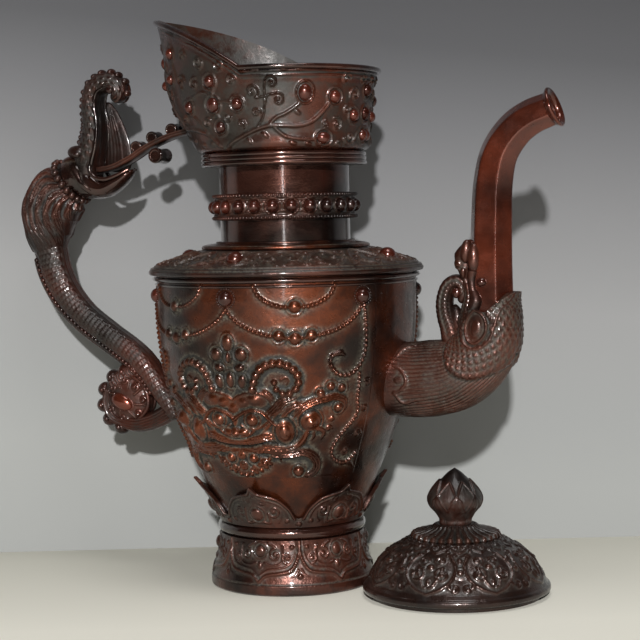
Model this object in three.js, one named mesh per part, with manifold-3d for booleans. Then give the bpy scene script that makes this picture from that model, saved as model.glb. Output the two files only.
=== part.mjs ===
// Copper wine vessel: a raised bowl on a foot, a neck with a flaring cup, a makara spout,
// a dragon handle, and a domed lid that stands beside the foot.
// Millimetres, +Z up, origin at the centre of the base. +X is the spout, -X the handle, -Y the front.
import * as THREE from 'three';
import { mergeVertices } from 'three/addons/utils/BufferGeometryUtils.js';
import Module from 'manifold-3d';

const wasm = await Module();
wasm.setup();

// Fits, walls and fineness
const gap = 0.3;
const bowlSheet = 1.8;
const cupSheet = 1.5;
const footSheet = 1.6;
const tubeSheet = 1.5;
const lidSheet = 1.5;
const roundSteps = 30;
const cupSteps = 36;
const bossSteps = 6;
const domeSteps = 8;
const cutFineness = 0.05;
const petalCount = 6;

// Foot, base plate and waist
const footLipRadius = 41;
const footLipHeight = 5;
const footLipRound = 1.2;
const footCurveRadius = 38.5;
const footCurveHeight = 12;
const footTopRadius = 36;
const footHeight = 26.4;
const footFlangeWidth = 6;
const basePlateThickness = 1.5;
const lappetTipHeight = 4.6;
const lappetRelief = 0.9;
const lappetHalfAngle = 28.5;
const footBossRadius = 3.3;
const footBossHeight = 21.6;
const waistRadius = 37;
const waistThickness = 5.8;

// Bowl: share of its top radius, and height above its own base
const bowlProfile = [
  [0.535, 0], [0.6, 8.5], [0.698, 23.7], [0.798, 40], [0.884, 56], [0.949, 75], [0.989, 94],
];
const bowlTopRadius = 64.5;
const bowlNeckHeight = 111.2;
const bowlHeight = 122.4;
const spoutHoleRadius = 10;
const wireLowWidth = 1.3;
const wireLowThickness = 1.5;
const wireHighWidth = 2.1;
const wireHighThickness = 2.6;
const wireSpacing = 0.6;

// Calyx, mask and pearls on the bowl
const calyxSheet = 1.3;
const calyxCollarHeight = 4;
const calyxHeight = 20;
const calyxFlare = 2.4;
const petalShoulder = 0.3;
const petalShoulderHeight = 0.73;
const calyxBossRadius = 3.3;
const calyxBossRise = 2.4;
const calyxBossHeight = 6.8;
const maskLow = 27;
const maskHeight = 68;
const maskEdge = 0.7;
const maskField = 0.5;
const maskColumns = 24;
const maskRows = 17;

// The mask's half-angle at even steps up its height
const maskHalfAngles = [14, 34, 44, 50, 51, 48, 40, 34, 26, 14, 7];

// The mask's main forms, on both its sides: angle from its middle, height over its foot, half width,
// half height and rise. They are nose, eye, brow, cheek, ear ball, moustache, jaw, teeth, beard, the
// beaded horn, the scrolls beside and below, and the jewels.
const maskForms = [
  [0, 23, 3.6, 4, 3.6], [8, 28.6, 3.6, 3.6, 3.4], [8.4, 37.6, 7, 3.6, 2.6], [22.5, 23, 4, 6.4, 3.4],
  [36.6, 27.6, 4.4, 4.4, 2.4], [12, 21.4, 9, 2.6, 2.2], [27, 15.4, 8, 4.4, 1.6], [5, 12.4, 9, 3, 2.2],
  [3, 5.4, 8, 4.6, 1.6], [11, 47, 3.2, 5, 2], [16, 53.4, 4, 3.4, 2], [23.6, 55, 4.4, 3, 2],
  [28.8, 49.4, 3, 4.6, 2], [23, 42.4, 5, 2.8, 2], [33, 36, 7, 4, 1.5], [47.6, 33.8, 5, 5, 1.6],
  [36, 6.6, 5.4, 5, 1.6], [0, 58, 3.4, 5, 1.6], [5, 47.4, 3, 4, 1.6],
];
const pearlRadius = 3.6;
const pearlDrop = 9.5;

// Shoulder plate and its bosses
const plateOverhang = 4;
const plateLipThickness = 3.1;
const plateLipWidth = 6;
const plateSheet = 1.6;
const plateRise = 8.6;
const plateFlatRadius = 43;
const shoulderBossRadius = 5.4;
const shoulderBossRise = 3.2;
const shoulderBossCircle = 55;
const shoulderBossCount = 4;

// Neck, its collar and its band
const neckRadius = 32.3;
const neckHeight = 42.7;
const collarRadius = 42;
const collarStepRadius = 34.8;
const collarThickness = 1.9;
const bandRise = 14.5;
const bandHeight = 13;
const bandRadius = 35;
const bandWireRadius = 36.3;
const bandWireHeight = 2.3;
const bandBossCount = 24;
const bandBossRadius = 3.1;
const bandBossRise = 2.5;
const bandBossStand = 0.4;

// Cup: radius and height above its base, at the front and at the pointed rear
const cupSeatRadius = 38.9;
const cupSeatHeight = 6.2;
const mouthRadius = 47.6;
const mouthHeight = 46.7;
const beakRadius = 68.6;
const beakHeight = 75.3;
const cupFront = [[42.4, 8.5], [43, 15], [43.8, 24], [44.8, 33], [46, 41]];
const cupRear = [[44, 8.7], [51, 18.2], [58.5, 27.7], [62.8, 40], [65, 58]];
const beakPoint = 1.6;
const beakSweep = 1.8;
const cupRingWidth = 2.3;
const cupRingHeight = 6.8;
const cupRingCount = 3;
const rimWireWidth = 1.8;
const rimWireHeight = 2.6;
const cupBossRadius = 3.2;
const cupBossRise = 2.6;
const clusterReach = 12;
const cupClusters = [[90, 24], [-22.5, 28.5], [202.5, 28.5]];
const cupSingles = [[37.8, 34], [58, 30.5], [-57.4, 53]];

// Spout: its elbow, hexagonal tube and lip in the plane y = 0
const elbowPath = [
  [52, 102.5], [64, 102.7], [77, 103.6], [90, 106.2], [100, 113], [105.6, 122.5], [107.2, 131.5],
];
const elbowThick = [17.5, 17.8, 17.6, 16.4, 14.8, 13.6, 12.6];
const elbowWide = [15.5, 15.6, 15.4, 15, 14.2, 13.4, 12.6];
const elbowTop = 138;
const spoutPath = [[107.4, 160], [107.9, 180], [108.9, 197], [112, 210.5], [119, 220.8], [127.5, 227]];
const spoutEnd = [137.2, 230.6];
const tubeFit = 0.5;
const spoutRootRadius = 11;
const spoutMouthRadius = 8.2;
const lipRadius = 9.8;
const lipLength = 2.6;
const headSheet = 1.5;
const headFit = 0.5;
const headStart = 0.44;
const jawTop = 148.5;
const jawSlope = 36;
const mouthSetBack = 1;
const spoutTrunkPath = [
  [87, 118], [92.6, 130], [94, 139], [94.6, 148], [92.6, 156], [91.8, 163], [94.4, 170],
];
const spoutTrunkThick = [3.5, 3, 2.6, 2.4, 3.8, 5.4, 2];
const crestPath = [[82.5, 120], [82.6, 130], [82.4, 140], [84.8, 147.5], [90, 150.5], [90.6, 145.5]];
const crestThick = [4, 3.4, 3.2, 3, 2.4, 1.6];
const spoutTrunkWide = 5.5;
const crestWide = 4;

// Handle in the plane y = 0, from the bowl up to the tongue's end on the cup
const handlePath = [
  [-60, 79], [-70, 92], [-80.7, 106.5], [-89.5, 114.4], [-103, 123.4], [-117.5, 133.6], [-128, 144.8],
  [-134.4, 156.4], [-137.4, 168],
];
const handleThick = [5, 5.6, 6.2, 6.8, 6.8, 7.1, 8, 8.6, 9.2];
const handleWide = 7.6;
const ridgeWidth = 2.4;
const ridgeHalf = 1.7;
const ridgeStart = 0.16;
const manePath = [[-137.4, 166.6], [-138.6, 177], [-136.6, 188], [-131.2, 197.4], [-125.6, 202.4]];
const maneThick = [11, 14.6, 17.4, 16.6, 12.4];
const maneWide = [9, 12, 14, 14, 11.5];
const headCollarThick = 13.2;
const headCollarWide = 12.2;
const headCollarLength = 2.6;
const headPath = [[-122.8, 204.3], [-118.6, 205.4], [-112, 202], [-103, 199.4], [-94, 203], [-85.4, 209]];
const headThick = [11.8, 11, 8, 4.8, 3.4, 1.4];
const headWide = [11, 10.6, 9.4, 8, 6.4, 4];
const trunkPath = [
  [-114.5, 208], [-113.4, 219], [-110.8, 231], [-112.8, 243.5], [-110.4, 252], [-103, 256], [-96.2, 252.6],
  [-97, 247.4], [-101.4, 249.4],
];
const trunkThick = [5.4, 6.2, 7, 5, 4.6, 4.2, 3.8, 2.6, 2];
const trunkWide = [8, 9, 8.4, 7, 6, 5.4, 5, 4.6, 4.2];
const tonguePath = [[-106.8, 209.4], [-97, 210.6], [-86, 215], [-76, 220.4], [-64, 225], [-46, 228.4]];
const tongueHalf = 1.9;
const tongueWide = 4.5;
const tongueKnobs = [[-84.4, 219.3], [-75.4, 224], [-64, 228.5]];
const knobRadius = 2.8;
const knobWidth = 8;
const rollCentre = [-70.2, 217.3];
const rollRadius = 2.9;
const rollWidth = 14;

// Tail curl: a leaf-shaped plate under the handle, and its bosses
const curlOutline = [
  [-80.6, 108], [-85.1, 99.6], [-84.1, 93.3], [-81.3, 87.6], [-79, 85], [-75.4, 87.8], [-72.4, 93.6],
  [-60, 92], [-58, 84], [-66.7, 78.6], [-74.6, 74.7], [-82.4, 72.4], [-95.6, 72.6], [-105.8, 75.9],
  [-111.7, 84], [-111.4, 94.8], [-104.6, 102.6], [-97.6, 103.5], [-91.6, 110.4],
];
const curlWidth = 10;
const curlBossRadius = 5;
const curlBossRise = 2.6;
const curlBossPlace = [-96.8, 86.4];

// Lid and its place beside the foot; the dome is [share of the lid's radius, height over the rim's foot]
const lidPlace = [89, -5];
const lidClearance = 0.9;
const spigotDepth = 2.2;
const spigotInset = 2.2;
const spigotSheet = 1.6;
const lidRimHeight = 2.9;
const lidDome = [[0.956, 4.1], [0.907, 8.5], [0.814, 15], [0.673, 20.7], [0.531, 24.1]];
const lidTopHeight = 25.3;
const lidTopRadius = 21.4;
const knobCollarRadius = 20;
const knobCollarHeight = 6;
const knobCollarEdge = 1.4;
const knobCollarTopRadius = 8.2;
const tenonRadius = 3.7;
const tenonReach = 1;
const knobSteps = 18;
const knobProfile = [[6.6, 0], [7.4, 2.4], [11.4, 7], [13, 11.6], [11, 16.6], [6, 22], [1.4, 25.8]];
const knobTip = 26.2;

const copper = { color: 0x5c2a1e, roughness: 0.32, metalness: 0.9 };
const darkCopper = { color: 0x3a2219, roughness: 0.42, metalness: 0.85 };
const redCopper = { color: 0x7c3527, roughness: 0.22, metalness: 0.95 };

const ewer = new THREE.Group();
const lid = new THREE.Group();
lid.position.set(lidPlace[0], lidPlace[1], 0);
ewer.add(lid);

// Merges the seams of a generated shape, drops flat triangles and turns the faces outward
function tidy(geometry) {
  const bare = geometry.clone();
  const seamed = geometry.hasAttribute('uv');
  for (const name of ['normal', 'uv']) bare.deleteAttribute(name);
  const merged = seamed ? mergeVertices(bare, 1e-4) : bare;
  const place = merged.attributes.position;
  const corner = [new THREE.Vector3(), new THREE.Vector3(), new THREE.Vector3()];
  const kept = [];
  let volume = 0;
  for (let i = 0; i < merged.index.count; i += 3) {
    const face = [merged.index.getX(i), merged.index.getX(i + 1), merged.index.getX(i + 2)];
    if (face[0] === face[1] || face[1] === face[2] || face[2] === face[0]) continue;
    face.forEach((vertex, k) => corner[k].fromBufferAttribute(place, vertex));
    volume += corner[0].dot(corner[1].clone().cross(corner[2]));
    kept.push(...face);
  }
  if (volume < 0) kept.reverse();
  merged.setIndex(kept);
  return merged;
}

function toSolid(geometry) {
  const closed = tidy(geometry);
  return new wasm.Manifold(new wasm.Mesh({
    numProp: 3,
    vertProperties: new Float32Array(closed.attributes.position.array),
    triVerts: new Uint32Array(closed.index.array),
  }));
}

// A cut or joined solid as a mesh, without the splinters that a cut leaves along its edge
function fromSolid(solid) {
  const mesh = solid.simplify(cutFineness).getMesh();
  const geometry = new THREE.BufferGeometry();
  geometry.setAttribute('position', new THREE.BufferAttribute(mesh.vertProperties, 3));
  geometry.setIndex(new THREE.BufferAttribute(mesh.triVerts, 1));
  return geometry;
}

function joined(base, additions) {
  return fromSolid(additions.reduce((solid, item) => solid.add(toSolid(item)), toSolid(base)));
}

// Cuts, and keeps the main body where a cut leaves slivers
function carved(base, cutters) {
  const bodies = cutters.reduce((solid, item) => solid.subtract(toSolid(item)), toSolid(base)).decompose();
  return fromSolid(bodies.reduce((main, body) => (body.volume() > main.volume() ? body : main)));
}

function addPiece(name, geometry, look = copper, parent = ewer) {
  const mesh = new THREE.Mesh(tidy(geometry), new THREE.MeshStandardMaterial(look));
  mesh.name = name;
  mesh.geometry.computeVertexNormals();
  parent.add(mesh);
}

// A turned solid from [radius, height] points
function revolve(points, steps = roundSteps) {
  const outline = points.map(([radius, height]) => new THREE.Vector2(radius, height));
  if (points[0][0] > 0) outline.push(outline[0].clone());
  return new THREE.LatheGeometry(outline, steps).rotateX(Math.PI / 2);
}

// A skin over rings with an even number of points: closed end to end, or with flat caps
function skin(rings, closed = false) {
  const sides = rings[0].length;
  const positions = rings.flat().flatMap((point) => [point.x, point.y, point.z]);
  const index = [];
  const links = closed ? rings.length : rings.length - 1;
  for (let i = 0; i < links; i += 1) {
    const next = (i + 1) % rings.length;
    for (let j = 0; j < sides; j += 1) {
      const side = (j + 1) % sides;
      index.push(i * sides + j, next * sides + j, next * sides + side);
      index.push(i * sides + j, next * sides + side, i * sides + side);
    }
  }
  const lastRing = (rings.length - 1) * sides;
  for (let j = 0; !closed && j < sides / 2 - 1; j += 1) {
    const opposite = sides - 1 - j;
    index.push(j, j + 1, opposite - 1, j, opposite - 1, opposite);
    index.push(...[j, opposite - 1, j + 1, j, opposite, opposite - 1].map((corner) => lastRing + corner));
  }
  const geometry = new THREE.BufferGeometry();
  geometry.setAttribute('position', new THREE.Float32BufferAttribute(positions, 3));
  geometry.setIndex(index);
  return geometry;
}

function flatCurve(path) {
  return new THREE.CatmullRomCurve3(path.map(([x, z]) => new THREE.Vector3(x, 0, z)), false, 'centripetal');
}

// The value of a list spread evenly over 0 to 1, or the number itself
function spread(values, t) {
  if (!Array.isArray(values)) return values;
  const at = t * (values.length - 1);
  const low = Math.min(Math.floor(at), values.length - 2);
  return THREE.MathUtils.lerp(values[low], values[low + 1], at - low);
}

// Rings across a path in the plane y = 0; thick lies in the plane and wide across it
function ringsAlong({ path, thick, wide, steps = 16, sides = 12, from = 0, to = 1, lift = 0 }, grow = 0) {
  const curve = flatCurve(path);
  const rings = [];
  for (let i = 0; i <= steps; i += 1) {
    const t = from + (to - from) * i / steps;
    const centre = curve.getPoint(t);
    const ahead = curve.getTangent(t);
    const across = new THREE.Vector3(-ahead.z, 0, ahead.x);
    centre.addScaledVector(across, spread(lift, t));
    const half = spread(thick, t) + grow;
    const side = spread(wide, t) + grow;
    rings.push(Array.from({ length: sides }, (_, j) => {
      const angle = 2 * Math.PI * j / sides;
      const point = centre.clone().addScaledVector(across, half * Math.cos(angle));
      point.y += side * Math.sin(angle);
      return point;
    }));
  }
  return rings;
}

const bar = (shape, grow = 0) => skin(ringsAlong(shape, grow));

function pipe(shape, wall) {
  return skin([...ringsAlong(shape), ...ringsAlong(shape, -wall).reverse()], true);
}

// A closed patch on a round wall, centred on an angle from the front, from v = 0 to 1 up the wall
function wallPatch({ radiusAt, angle, low, high, halfAngleAt, inner, outerAt, rows = 8, columns = 6 }) {
  const rings = [];
  for (let i = 0; i <= rows; i += 1) {
    const v = i / rows;
    const height = THREE.MathUtils.lerp(low, high, v);
    const place = (u, offset) => {
      const turn = THREE.MathUtils.degToRad(angle + u * halfAngleAt(v));
      const radius = radiusAt(height) + offset;
      return new THREE.Vector3(radius * Math.sin(turn), -radius * Math.cos(turn), height);
    };
    const ring = [];
    const across = Array.from({ length: columns + 1 }, (_, j) => 2 * j / columns - 1);
    across.forEach((u) => ring.push(place(u, outerAt(u, v))));
    across.reverse().forEach((u) => ring.push(place(u, inner)));
    rings.push(ring);
  }
  return skin(rings);
}

function boss(radius, rise, place, outward, steps = domeSteps) {
  const bands = Math.ceil(steps * 0.6);
  const geometry = new THREE.SphereGeometry(radius, steps, bands).scale(1, rise / radius, 1);
  const turn = new THREE.Quaternion().setFromUnitVectors(new THREE.Vector3(0, 1, 0), outward);
  return geometry.applyQuaternion(turn).translate(place.x, place.y, place.z);
}

// A direction from the axis at an angle from the front, positive towards the spout
function heading(angle) {
  const turn = THREE.MathUtils.degToRad(angle);
  return new THREE.Vector3(Math.sin(turn), -Math.cos(turn), 0);
}

function onWall(radius, angle, height) {
  return heading(angle).multiplyScalar(radius).setZ(height);
}

function radiusOver(points) {
  return (height) => {
    const above = points.findIndex((point) => point[1] >= height);
    if (above < 0) return points[points.length - 1][0];
    if (above === 0) return points[0][0];
    const [low, high] = [points[above - 1], points[above]];
    return THREE.MathUtils.mapLinear(height, low[1], high[1], low[0], high[0]);
  };
}

// Foot: a flaring ring with a flange that carries the waist
const footCurve = new THREE.QuadraticBezierCurve(
  new THREE.Vector2(footLipRadius - footLipRound / 2, footLipHeight + footLipRound / 2),
  new THREE.Vector2(footCurveRadius, footCurveHeight),
  new THREE.Vector2(footTopRadius, footHeight),
);
const footWall = footCurve.getPoints(4).map((point) => [point.x, point.y]);
const footOutside = [
  [footLipRadius - footLipRound, 0], [footLipRadius, footLipRound], [footLipRadius, footLipHeight],
  ...footWall,
];
const flangeRadius = footTopRadius - footFlangeWidth;
const footInside = footWall.slice(0, -1).map(([radius, height]) => [radius - footSheet, height]);
const footBore = footLipRadius - footLipRound - footSheet;
const footShell = revolve([
  ...footOutside, [flangeRadius, footHeight], [flangeRadius, footHeight - footSheet],
  [footTopRadius - footSheet, footHeight - footSheet], ...footInside.reverse(), [footBore, 0],
]);
const footRadiusAt = radiusOver(footOutside);
const lappetTop = footHeight - footSheet / 2;
const petalAngles = Array.from({ length: petalCount }, (_, i) => i * 360 / petalCount);
const lappets = petalAngles.map((angle) => wallPatch({
  radiusAt: footRadiusAt,
  angle,
  low: lappetTipHeight,
  high: lappetTop,
  rows: 4,
  columns: 2,
  inner: -footSheet / 2,
  outerAt: () => lappetRelief,
  halfAngleAt: (v) => 1 + (lappetHalfAngle - 1) * Math.sin(Math.PI / 2 * v) ** 0.7,
}));
const footBosses = petalAngles.map((angle) => {
  const place = onWall(footRadiusAt(footBossHeight), angle, footBossHeight);
  return boss(footBossRadius, footBossRadius, place, heading(angle), bossSteps);
});
addPiece('foot_ring', joined(footShell, [...lappets, ...footBosses]));

const plateReach = footBore - gap;
const basePlate = new THREE.CylinderGeometry(plateReach, plateReach, basePlateThickness, roundSteps);
addPiece('base_plate', basePlate.rotateX(Math.PI / 2).translate(0, 0, basePlateThickness / 2), darkCopper);

// Waist ring: flat top and bottom, rounded outside
const waistBase = footHeight + gap;
const waistBulge = Array.from({ length: 6 }, (_, i) => {
  const turn = Math.PI * (i / 5 - 0.5);
  const half = waistThickness / 2;
  return [waistRadius - half + half * Math.cos(turn), waistBase + half + half * Math.sin(turn)];
});
addPiece('waist_ring', revolve([
  [flangeRadius, waistBase], ...waistBulge, [flangeRadius, waistBase + waistThickness],
]), redCopper);

// Bowl: a raised shell with a floor, open at the top
const bowlBase = waistBase + waistThickness + gap;
const bowlTop = bowlBase + bowlHeight;
const bowlPoints = [...bowlProfile, [1, bowlNeckHeight]].map(([share, height]) => [
  bowlTopRadius * share, height,
]);
const bowlCurve = new THREE.SplineCurve(bowlPoints.map((point) => new THREE.Vector2(...point)));
const bowlOutside = bowlCurve.getPoints(8).map((point) => [point.x, bowlBase + point.y]);
bowlOutside.push([bowlTopRadius, bowlTop]);
const bowlRadiusAt = radiusOver(bowlOutside);
const bowlFloor = bowlBase + bowlSheet;
const bowlInside = bowlOutside.slice(1).map(([radius, height]) => [radius - bowlSheet, height]).reverse();
const bowlShell = revolve([
  [0, bowlBase], ...bowlOutside, ...bowlInside, [bowlPoints[0][0] - bowlSheet, bowlFloor], [0, bowlFloor],
]);
const elbowStart = elbowPath[1];
const spoutHole = new THREE.CylinderGeometry(spoutHoleRadius, spoutHoleRadius, 2 * bowlTopRadius, 20)
  .rotateZ(Math.PI / 2).translate(2 * bowlTopRadius, 0, elbowStart[1]);
addPiece('bowl', carved(bowlShell, [spoutHole]));

// The bowl's filled shape with a clearance, for cutting what is soldered on it
const bowlClear = revolve([
  [0, bowlBase - gap], [bowlOutside[0][0] + gap, bowlBase - gap],
  ...bowlOutside.map(([radius, height]) => [radius + gap, height]), [0, bowlTop],
]);

// Half-round wires round the bowl's top
function wallWire(width, thickness, base) {
  const inner = bowlTopRadius + gap;
  const round = Array.from({ length: 5 }, (_, i) => {
    const turn = Math.PI * (i / 4 - 0.5);
    return [inner + width * Math.cos(turn), base + thickness / 2 * (1 + Math.sin(turn))];
  });
  return revolve(round);
}
const wireHighBase = bowlTop - gap - wireHighThickness;
const wireLowBase = wireHighBase - wireSpacing - wireLowThickness;
addPiece('bowl_wire_lower', wallWire(wireLowWidth, wireLowThickness, wireLowBase));
addPiece('bowl_wire_upper', wallWire(wireHighWidth, wireHighThickness, wireHighBase));

// Calyx: a crown of six petals round the bottom of the bowl, its tips flaring off the wall
function calyxSection(angle) {
  const fromTip = Math.abs((((angle + 180 / petalCount) % (360 / petalCount)) * petalCount / 180) - 1);
  const fromShoulder = Math.max(0, fromTip - petalShoulder) / (1 - petalShoulder);
  const lowArch = petalShoulderHeight * Math.sqrt(Math.max(0, 1 - fromShoulder ** 2));
  const point = 1 - fromTip * (1 - petalShoulderHeight) / petalShoulder;
  const arch = fromTip < petalShoulder ? point : lowArch;
  const top = calyxCollarHeight + (calyxHeight - calyxCollarHeight) * arch;
  const outer = [];
  const inner = [];
  for (let i = 0; i <= 3; i += 1) {
    const rise = top * i / 3;
    const flare = calyxFlare * Math.max(0, rise / calyxHeight - 0.5) ** 2 * 4;
    const radius = bowlRadiusAt(bowlBase + rise) + gap + flare;
    outer.push(onWall(radius + calyxSheet, angle, bowlBase + rise));
    inner.push(onWall(radius, angle, bowlBase + rise));
  }
  return [...outer, ...inner.reverse()];
}
const calyxMiddle = gap + calyxSheet / 2;
const calyxCore = revolve([
  [0, bowlBase], ...bowlOutside.map(([radius, height]) => [radius + calyxMiddle, height]), [0, bowlTop],
]);
const calyxSteps = petalCount * 8;
const calyxShell = skin(
  Array.from({ length: calyxSteps }, (_, i) => calyxSection(i * 360 / calyxSteps)),
  true,
);
const calyxBosses = petalAngles.map((angle) => {
  const height = bowlBase + calyxBossHeight;
  const place = onWall(bowlRadiusAt(height) + gap + calyxSheet, angle, height);
  return carved(boss(calyxBossRadius, calyxBossRise, place, heading(angle), bossSteps), [calyxCore]);
});
addPiece('calyx', joined(calyxShell, calyxBosses));

// Mask relief, front and rear: a thin field that carries the face's main forms
function maskDepth(angle, height) {
  const reach = THREE.MathUtils.degToRad(1) * bowlRadiusAt(height);
  const lump = Math.max(...maskForms.map(([turn, rise, wide, tall, high]) => {
    const across = (Math.abs(angle) - turn) * reach / wide;
    const up = (height - bowlBase - maskLow - rise) / tall;
    return high * Math.exp(-(across ** 2) - up ** 2);
  }));
  return maskEdge + maskField + lump;
}
function maskHalfAngleAt(v) {
  return spread(maskHalfAngles, v);
}
for (const [name, angle] of [['mask_front', 0], ['mask_rear', 180]]) {
  const low = bowlBase + maskLow;
  addPiece(name, wallPatch({
    radiusAt: bowlRadiusAt,
    angle,
    low,
    high: low + maskHeight,
    inner: gap,
    outerAt: (u, v) => {
      const atEdge = Math.abs(u) === 1 || v === 0 || v === 1;
      return atEdge ? maskEdge : maskDepth(u * maskHalfAngleAt(v), low + v * maskHeight);
    },
    halfAngleAt: maskHalfAngleAt,
    rows: maskRows,
    columns: maskColumns,
  }), darkCopper);
}

// Pearls under the wires, seated on the wall
const pearlHeight = wireLowBase - pearlDrop + pearlRadius;
petalAngles.forEach((angle, i) => {
  const place = onWall(bowlRadiusAt(pearlHeight), angle, pearlHeight);
  const pearl = boss(pearlRadius, pearlRadius, place, heading(angle));
  addPiece(`pearl_boss_${i + 1}`, carved(pearl, [bowlClear]), redCopper);
});

// Shoulder plate: a shallow cone with a thick lip, pierced for the neck
const plateRadius = bowlTopRadius + plateOverhang;
const plateBase = bowlTop + gap;
const plateLipTop = plateBase + plateLipThickness;
const plateTop = plateLipTop + plateRise;
const neckHole = neckRadius + gap;
const plateLipInner = plateRadius - plateLipWidth;
const plateSlope = plateRise / (plateRadius - plateFlatRadius);
addPiece('shoulder_plate', revolve([
  [neckHole, plateTop - plateSheet], [plateFlatRadius, plateTop - plateSheet],
  [plateLipInner, plateLipTop + plateLipWidth * plateSlope - plateSheet], [plateLipInner, plateBase],
  [plateRadius, plateBase], [plateRadius, plateLipTop], [plateFlatRadius, plateTop], [neckHole, plateTop],
]));
const plateClear = revolve([
  [0, plateBase], [plateRadius + gap, plateBase], [plateRadius + gap, plateLipTop + gap],
  [plateFlatRadius, plateTop + gap], [0, plateTop + gap],
]);
for (let i = 0; i < shoulderBossCount; i += 1) {
  const angle = i * 360 / shoulderBossCount;
  const height = plateLipTop + (plateRadius - shoulderBossCircle) * plateSlope;
  const place = onWall(shoulderBossCircle, angle, height);
  const dome = boss(shoulderBossRadius, shoulderBossRise, place, new THREE.Vector3(0, 0, 1));
  addPiece(`shoulder_boss_${i + 1}`, carved(dome, [plateClear]), redCopper);
}

// Neck: a plain tube through the plate, with a stepped collar at its root
const neckBottom = plateTop - plateSheet - gap;
const neckTop = neckBottom + neckHeight;
const neckBore = neckRadius - tubeSheet;
addPiece('neck_tube', revolve([
  [neckBore, neckBottom], [neckRadius, neckBottom], [neckRadius, neckTop], [neckBore, neckTop],
]), redCopper);
const collarBase = plateTop + gap;
addPiece('neck_collar', revolve([
  [neckHole, collarBase], [collarRadius, collarBase], [collarRadius, collarBase + collarThickness],
  [collarStepRadius, collarBase + collarThickness], [collarStepRadius, collarBase + 2 * collarThickness],
  [neckHole, collarBase + 2 * collarThickness],
]));

// Neck band: two edge wires and a row of round bosses
const bandBase = plateTop + bandRise;
const bandTop = bandBase + bandHeight;
const bandShell = revolve([
  [neckHole, bandBase], [bandWireRadius, bandBase], [bandWireRadius, bandBase + bandWireHeight],
  [bandRadius, bandBase + bandWireHeight], [bandRadius, bandTop - bandWireHeight],
  [bandWireRadius, bandTop - bandWireHeight], [bandWireRadius, bandTop], [neckHole, bandTop],
]);
const bandBosses = Array.from({ length: bandBossCount }, (_, i) => {
  const angle = i * 360 / bandBossCount;
  const place = onWall(bandRadius + bandBossStand, angle, (bandBase + bandTop) / 2);
  return boss(bandBossRadius, bandBossRise, place, heading(angle), bossSteps);
});
addPiece('neck_band', joined(bandShell, bandBosses));

// Cup: round at the front, drawn out into a raised point over the handle
const cupBase = neckTop + gap;
const seatPoints = [[cupSeatRadius, 0], [cupSeatRadius, cupSeatHeight]];
const frontPoints = [...seatPoints, ...cupFront, [mouthRadius, mouthHeight]];
const rearPoints = [...seatPoints, ...cupRear, [beakRadius, beakHeight]];

// The wall's [radius, height] at an angle from the front, for each point of the outline
function cupOutline(angle, offset = 0) {
  const fromRear = Math.abs(((angle + 90) % 360 + 540) % 360 - 180);
  const t = Math.max(0, 1 - fromRear / 90);
  const outward = t ** beakPoint;
  const upward = 1 - (1 - t) ** beakSweep;
  return frontPoints.map(([radius, height], i) => [
    THREE.MathUtils.lerp(radius, rearPoints[i][0], outward) + offset,
    cupBase + THREE.MathUtils.lerp(height, rearPoints[i][1], upward),
  ]);
}

function cupSection(angle) {
  const outside = cupOutline(angle);
  const inside = cupOutline(angle, -cupSheet).slice(1).reverse();
  const floor = cupBase + cupSheet;
  const inner = [...inside, [cupSeatRadius - cupSheet, floor], [neckBore, floor]];
  const points = [[neckBore, cupBase], ...outside, ...inner];
  return points.map(([radius, height]) => onWall(radius, angle, height));
}
const cupAngles = Array.from({ length: cupSteps }, (_, i) => i * 360 / cupSteps);
const cupShell = skin(cupAngles.map(cupSection), true);

// The cup's filled shape with a clearance
const cupClear = skin(cupAngles.map((angle) => {
  const points = [[0.5, cupBase - gap], ...cupOutline(angle, gap)];
  const top = points[points.length - 1][1];
  return [...points, [0.5, top]].map(([radius, height]) => onWall(radius, angle, height));
}), true);

function cupRadiusAt(angle, height) {
  return radiusOver(cupOutline(angle))(cupBase + height);
}

const cupCore = skin(cupAngles.map((angle) => {
  const points = [[0.5, cupBase], ...cupOutline(angle, -cupSheet / 2)];
  const top = points[points.length - 1][1];
  return [...points, [0.5, top]].map(([radius, height]) => onWall(radius, angle, height));
}), true);

function cupBoss([angle, height]) {
  const place = onWall(cupRadiusAt(angle, height), angle, cupBase + height);
  return carved(boss(cupBossRadius, cupBossRise, place, heading(angle), bossSteps), [cupCore]);
}
const clusterTurn = THREE.MathUtils.radToDeg(clusterReach / mouthRadius) * 1.1;
const clusterPlaces = cupClusters.flatMap(([angle, height]) => [
  [angle, height], [angle - clusterTurn, height], [angle + clusterTurn, height],
  [angle, height + clusterReach], [angle, height - clusterReach],
]);
const mirrored = cupSingles.flatMap(([angle, height]) => [[angle, height], [180 - angle, height]]);
addPiece('mouth_cup', joined(cupShell, [...clusterPlaces, ...mirrored].map(cupBoss)));

// Ring of three rolls under the cup
const rollHeight = cupRingHeight / cupRingCount;
const cupRingRadius = cupSeatRadius + cupRingWidth;
const ringRolls = Array.from({ length: cupRingCount }, (_, i) => {
  const base = cupBase + i * rollHeight;
  return [[1, 0], [0, 0.3], [0, 0.7]].map(([inset, rise]) => [
    cupRingRadius - inset * rollHeight / 4, base + rise * rollHeight,
  ]);
}).flat();
const cupSeatClear = cupSeatRadius + gap;
const ringTop = cupBase + cupRingHeight;
addPiece('cup_ring', revolve([
  [cupSeatClear, cupBase], ...ringRolls, [cupRingRadius - rollHeight / 4, ringTop - rollHeight * 0.2],
  [cupSeatClear, ringTop - 2 * rollHeight / 3],
]));

// Wire round the rim, level with its edge all the way to the point
addPiece('rim_wire', skin(cupAngles.map((angle) => {
  const [radius, height] = cupOutline(angle, gap).pop();
  const low = height - rimWireHeight;
  return [
    [radius, low], [radius + rimWireWidth * 0.7, low], [radius + rimWireWidth, height - rimWireHeight / 2],
    [radius + rimWireWidth * 0.7, height], [radius, height],
  ].map(([reach, level]) => onWall(reach, angle, level));
}), true), redCopper);

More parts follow.
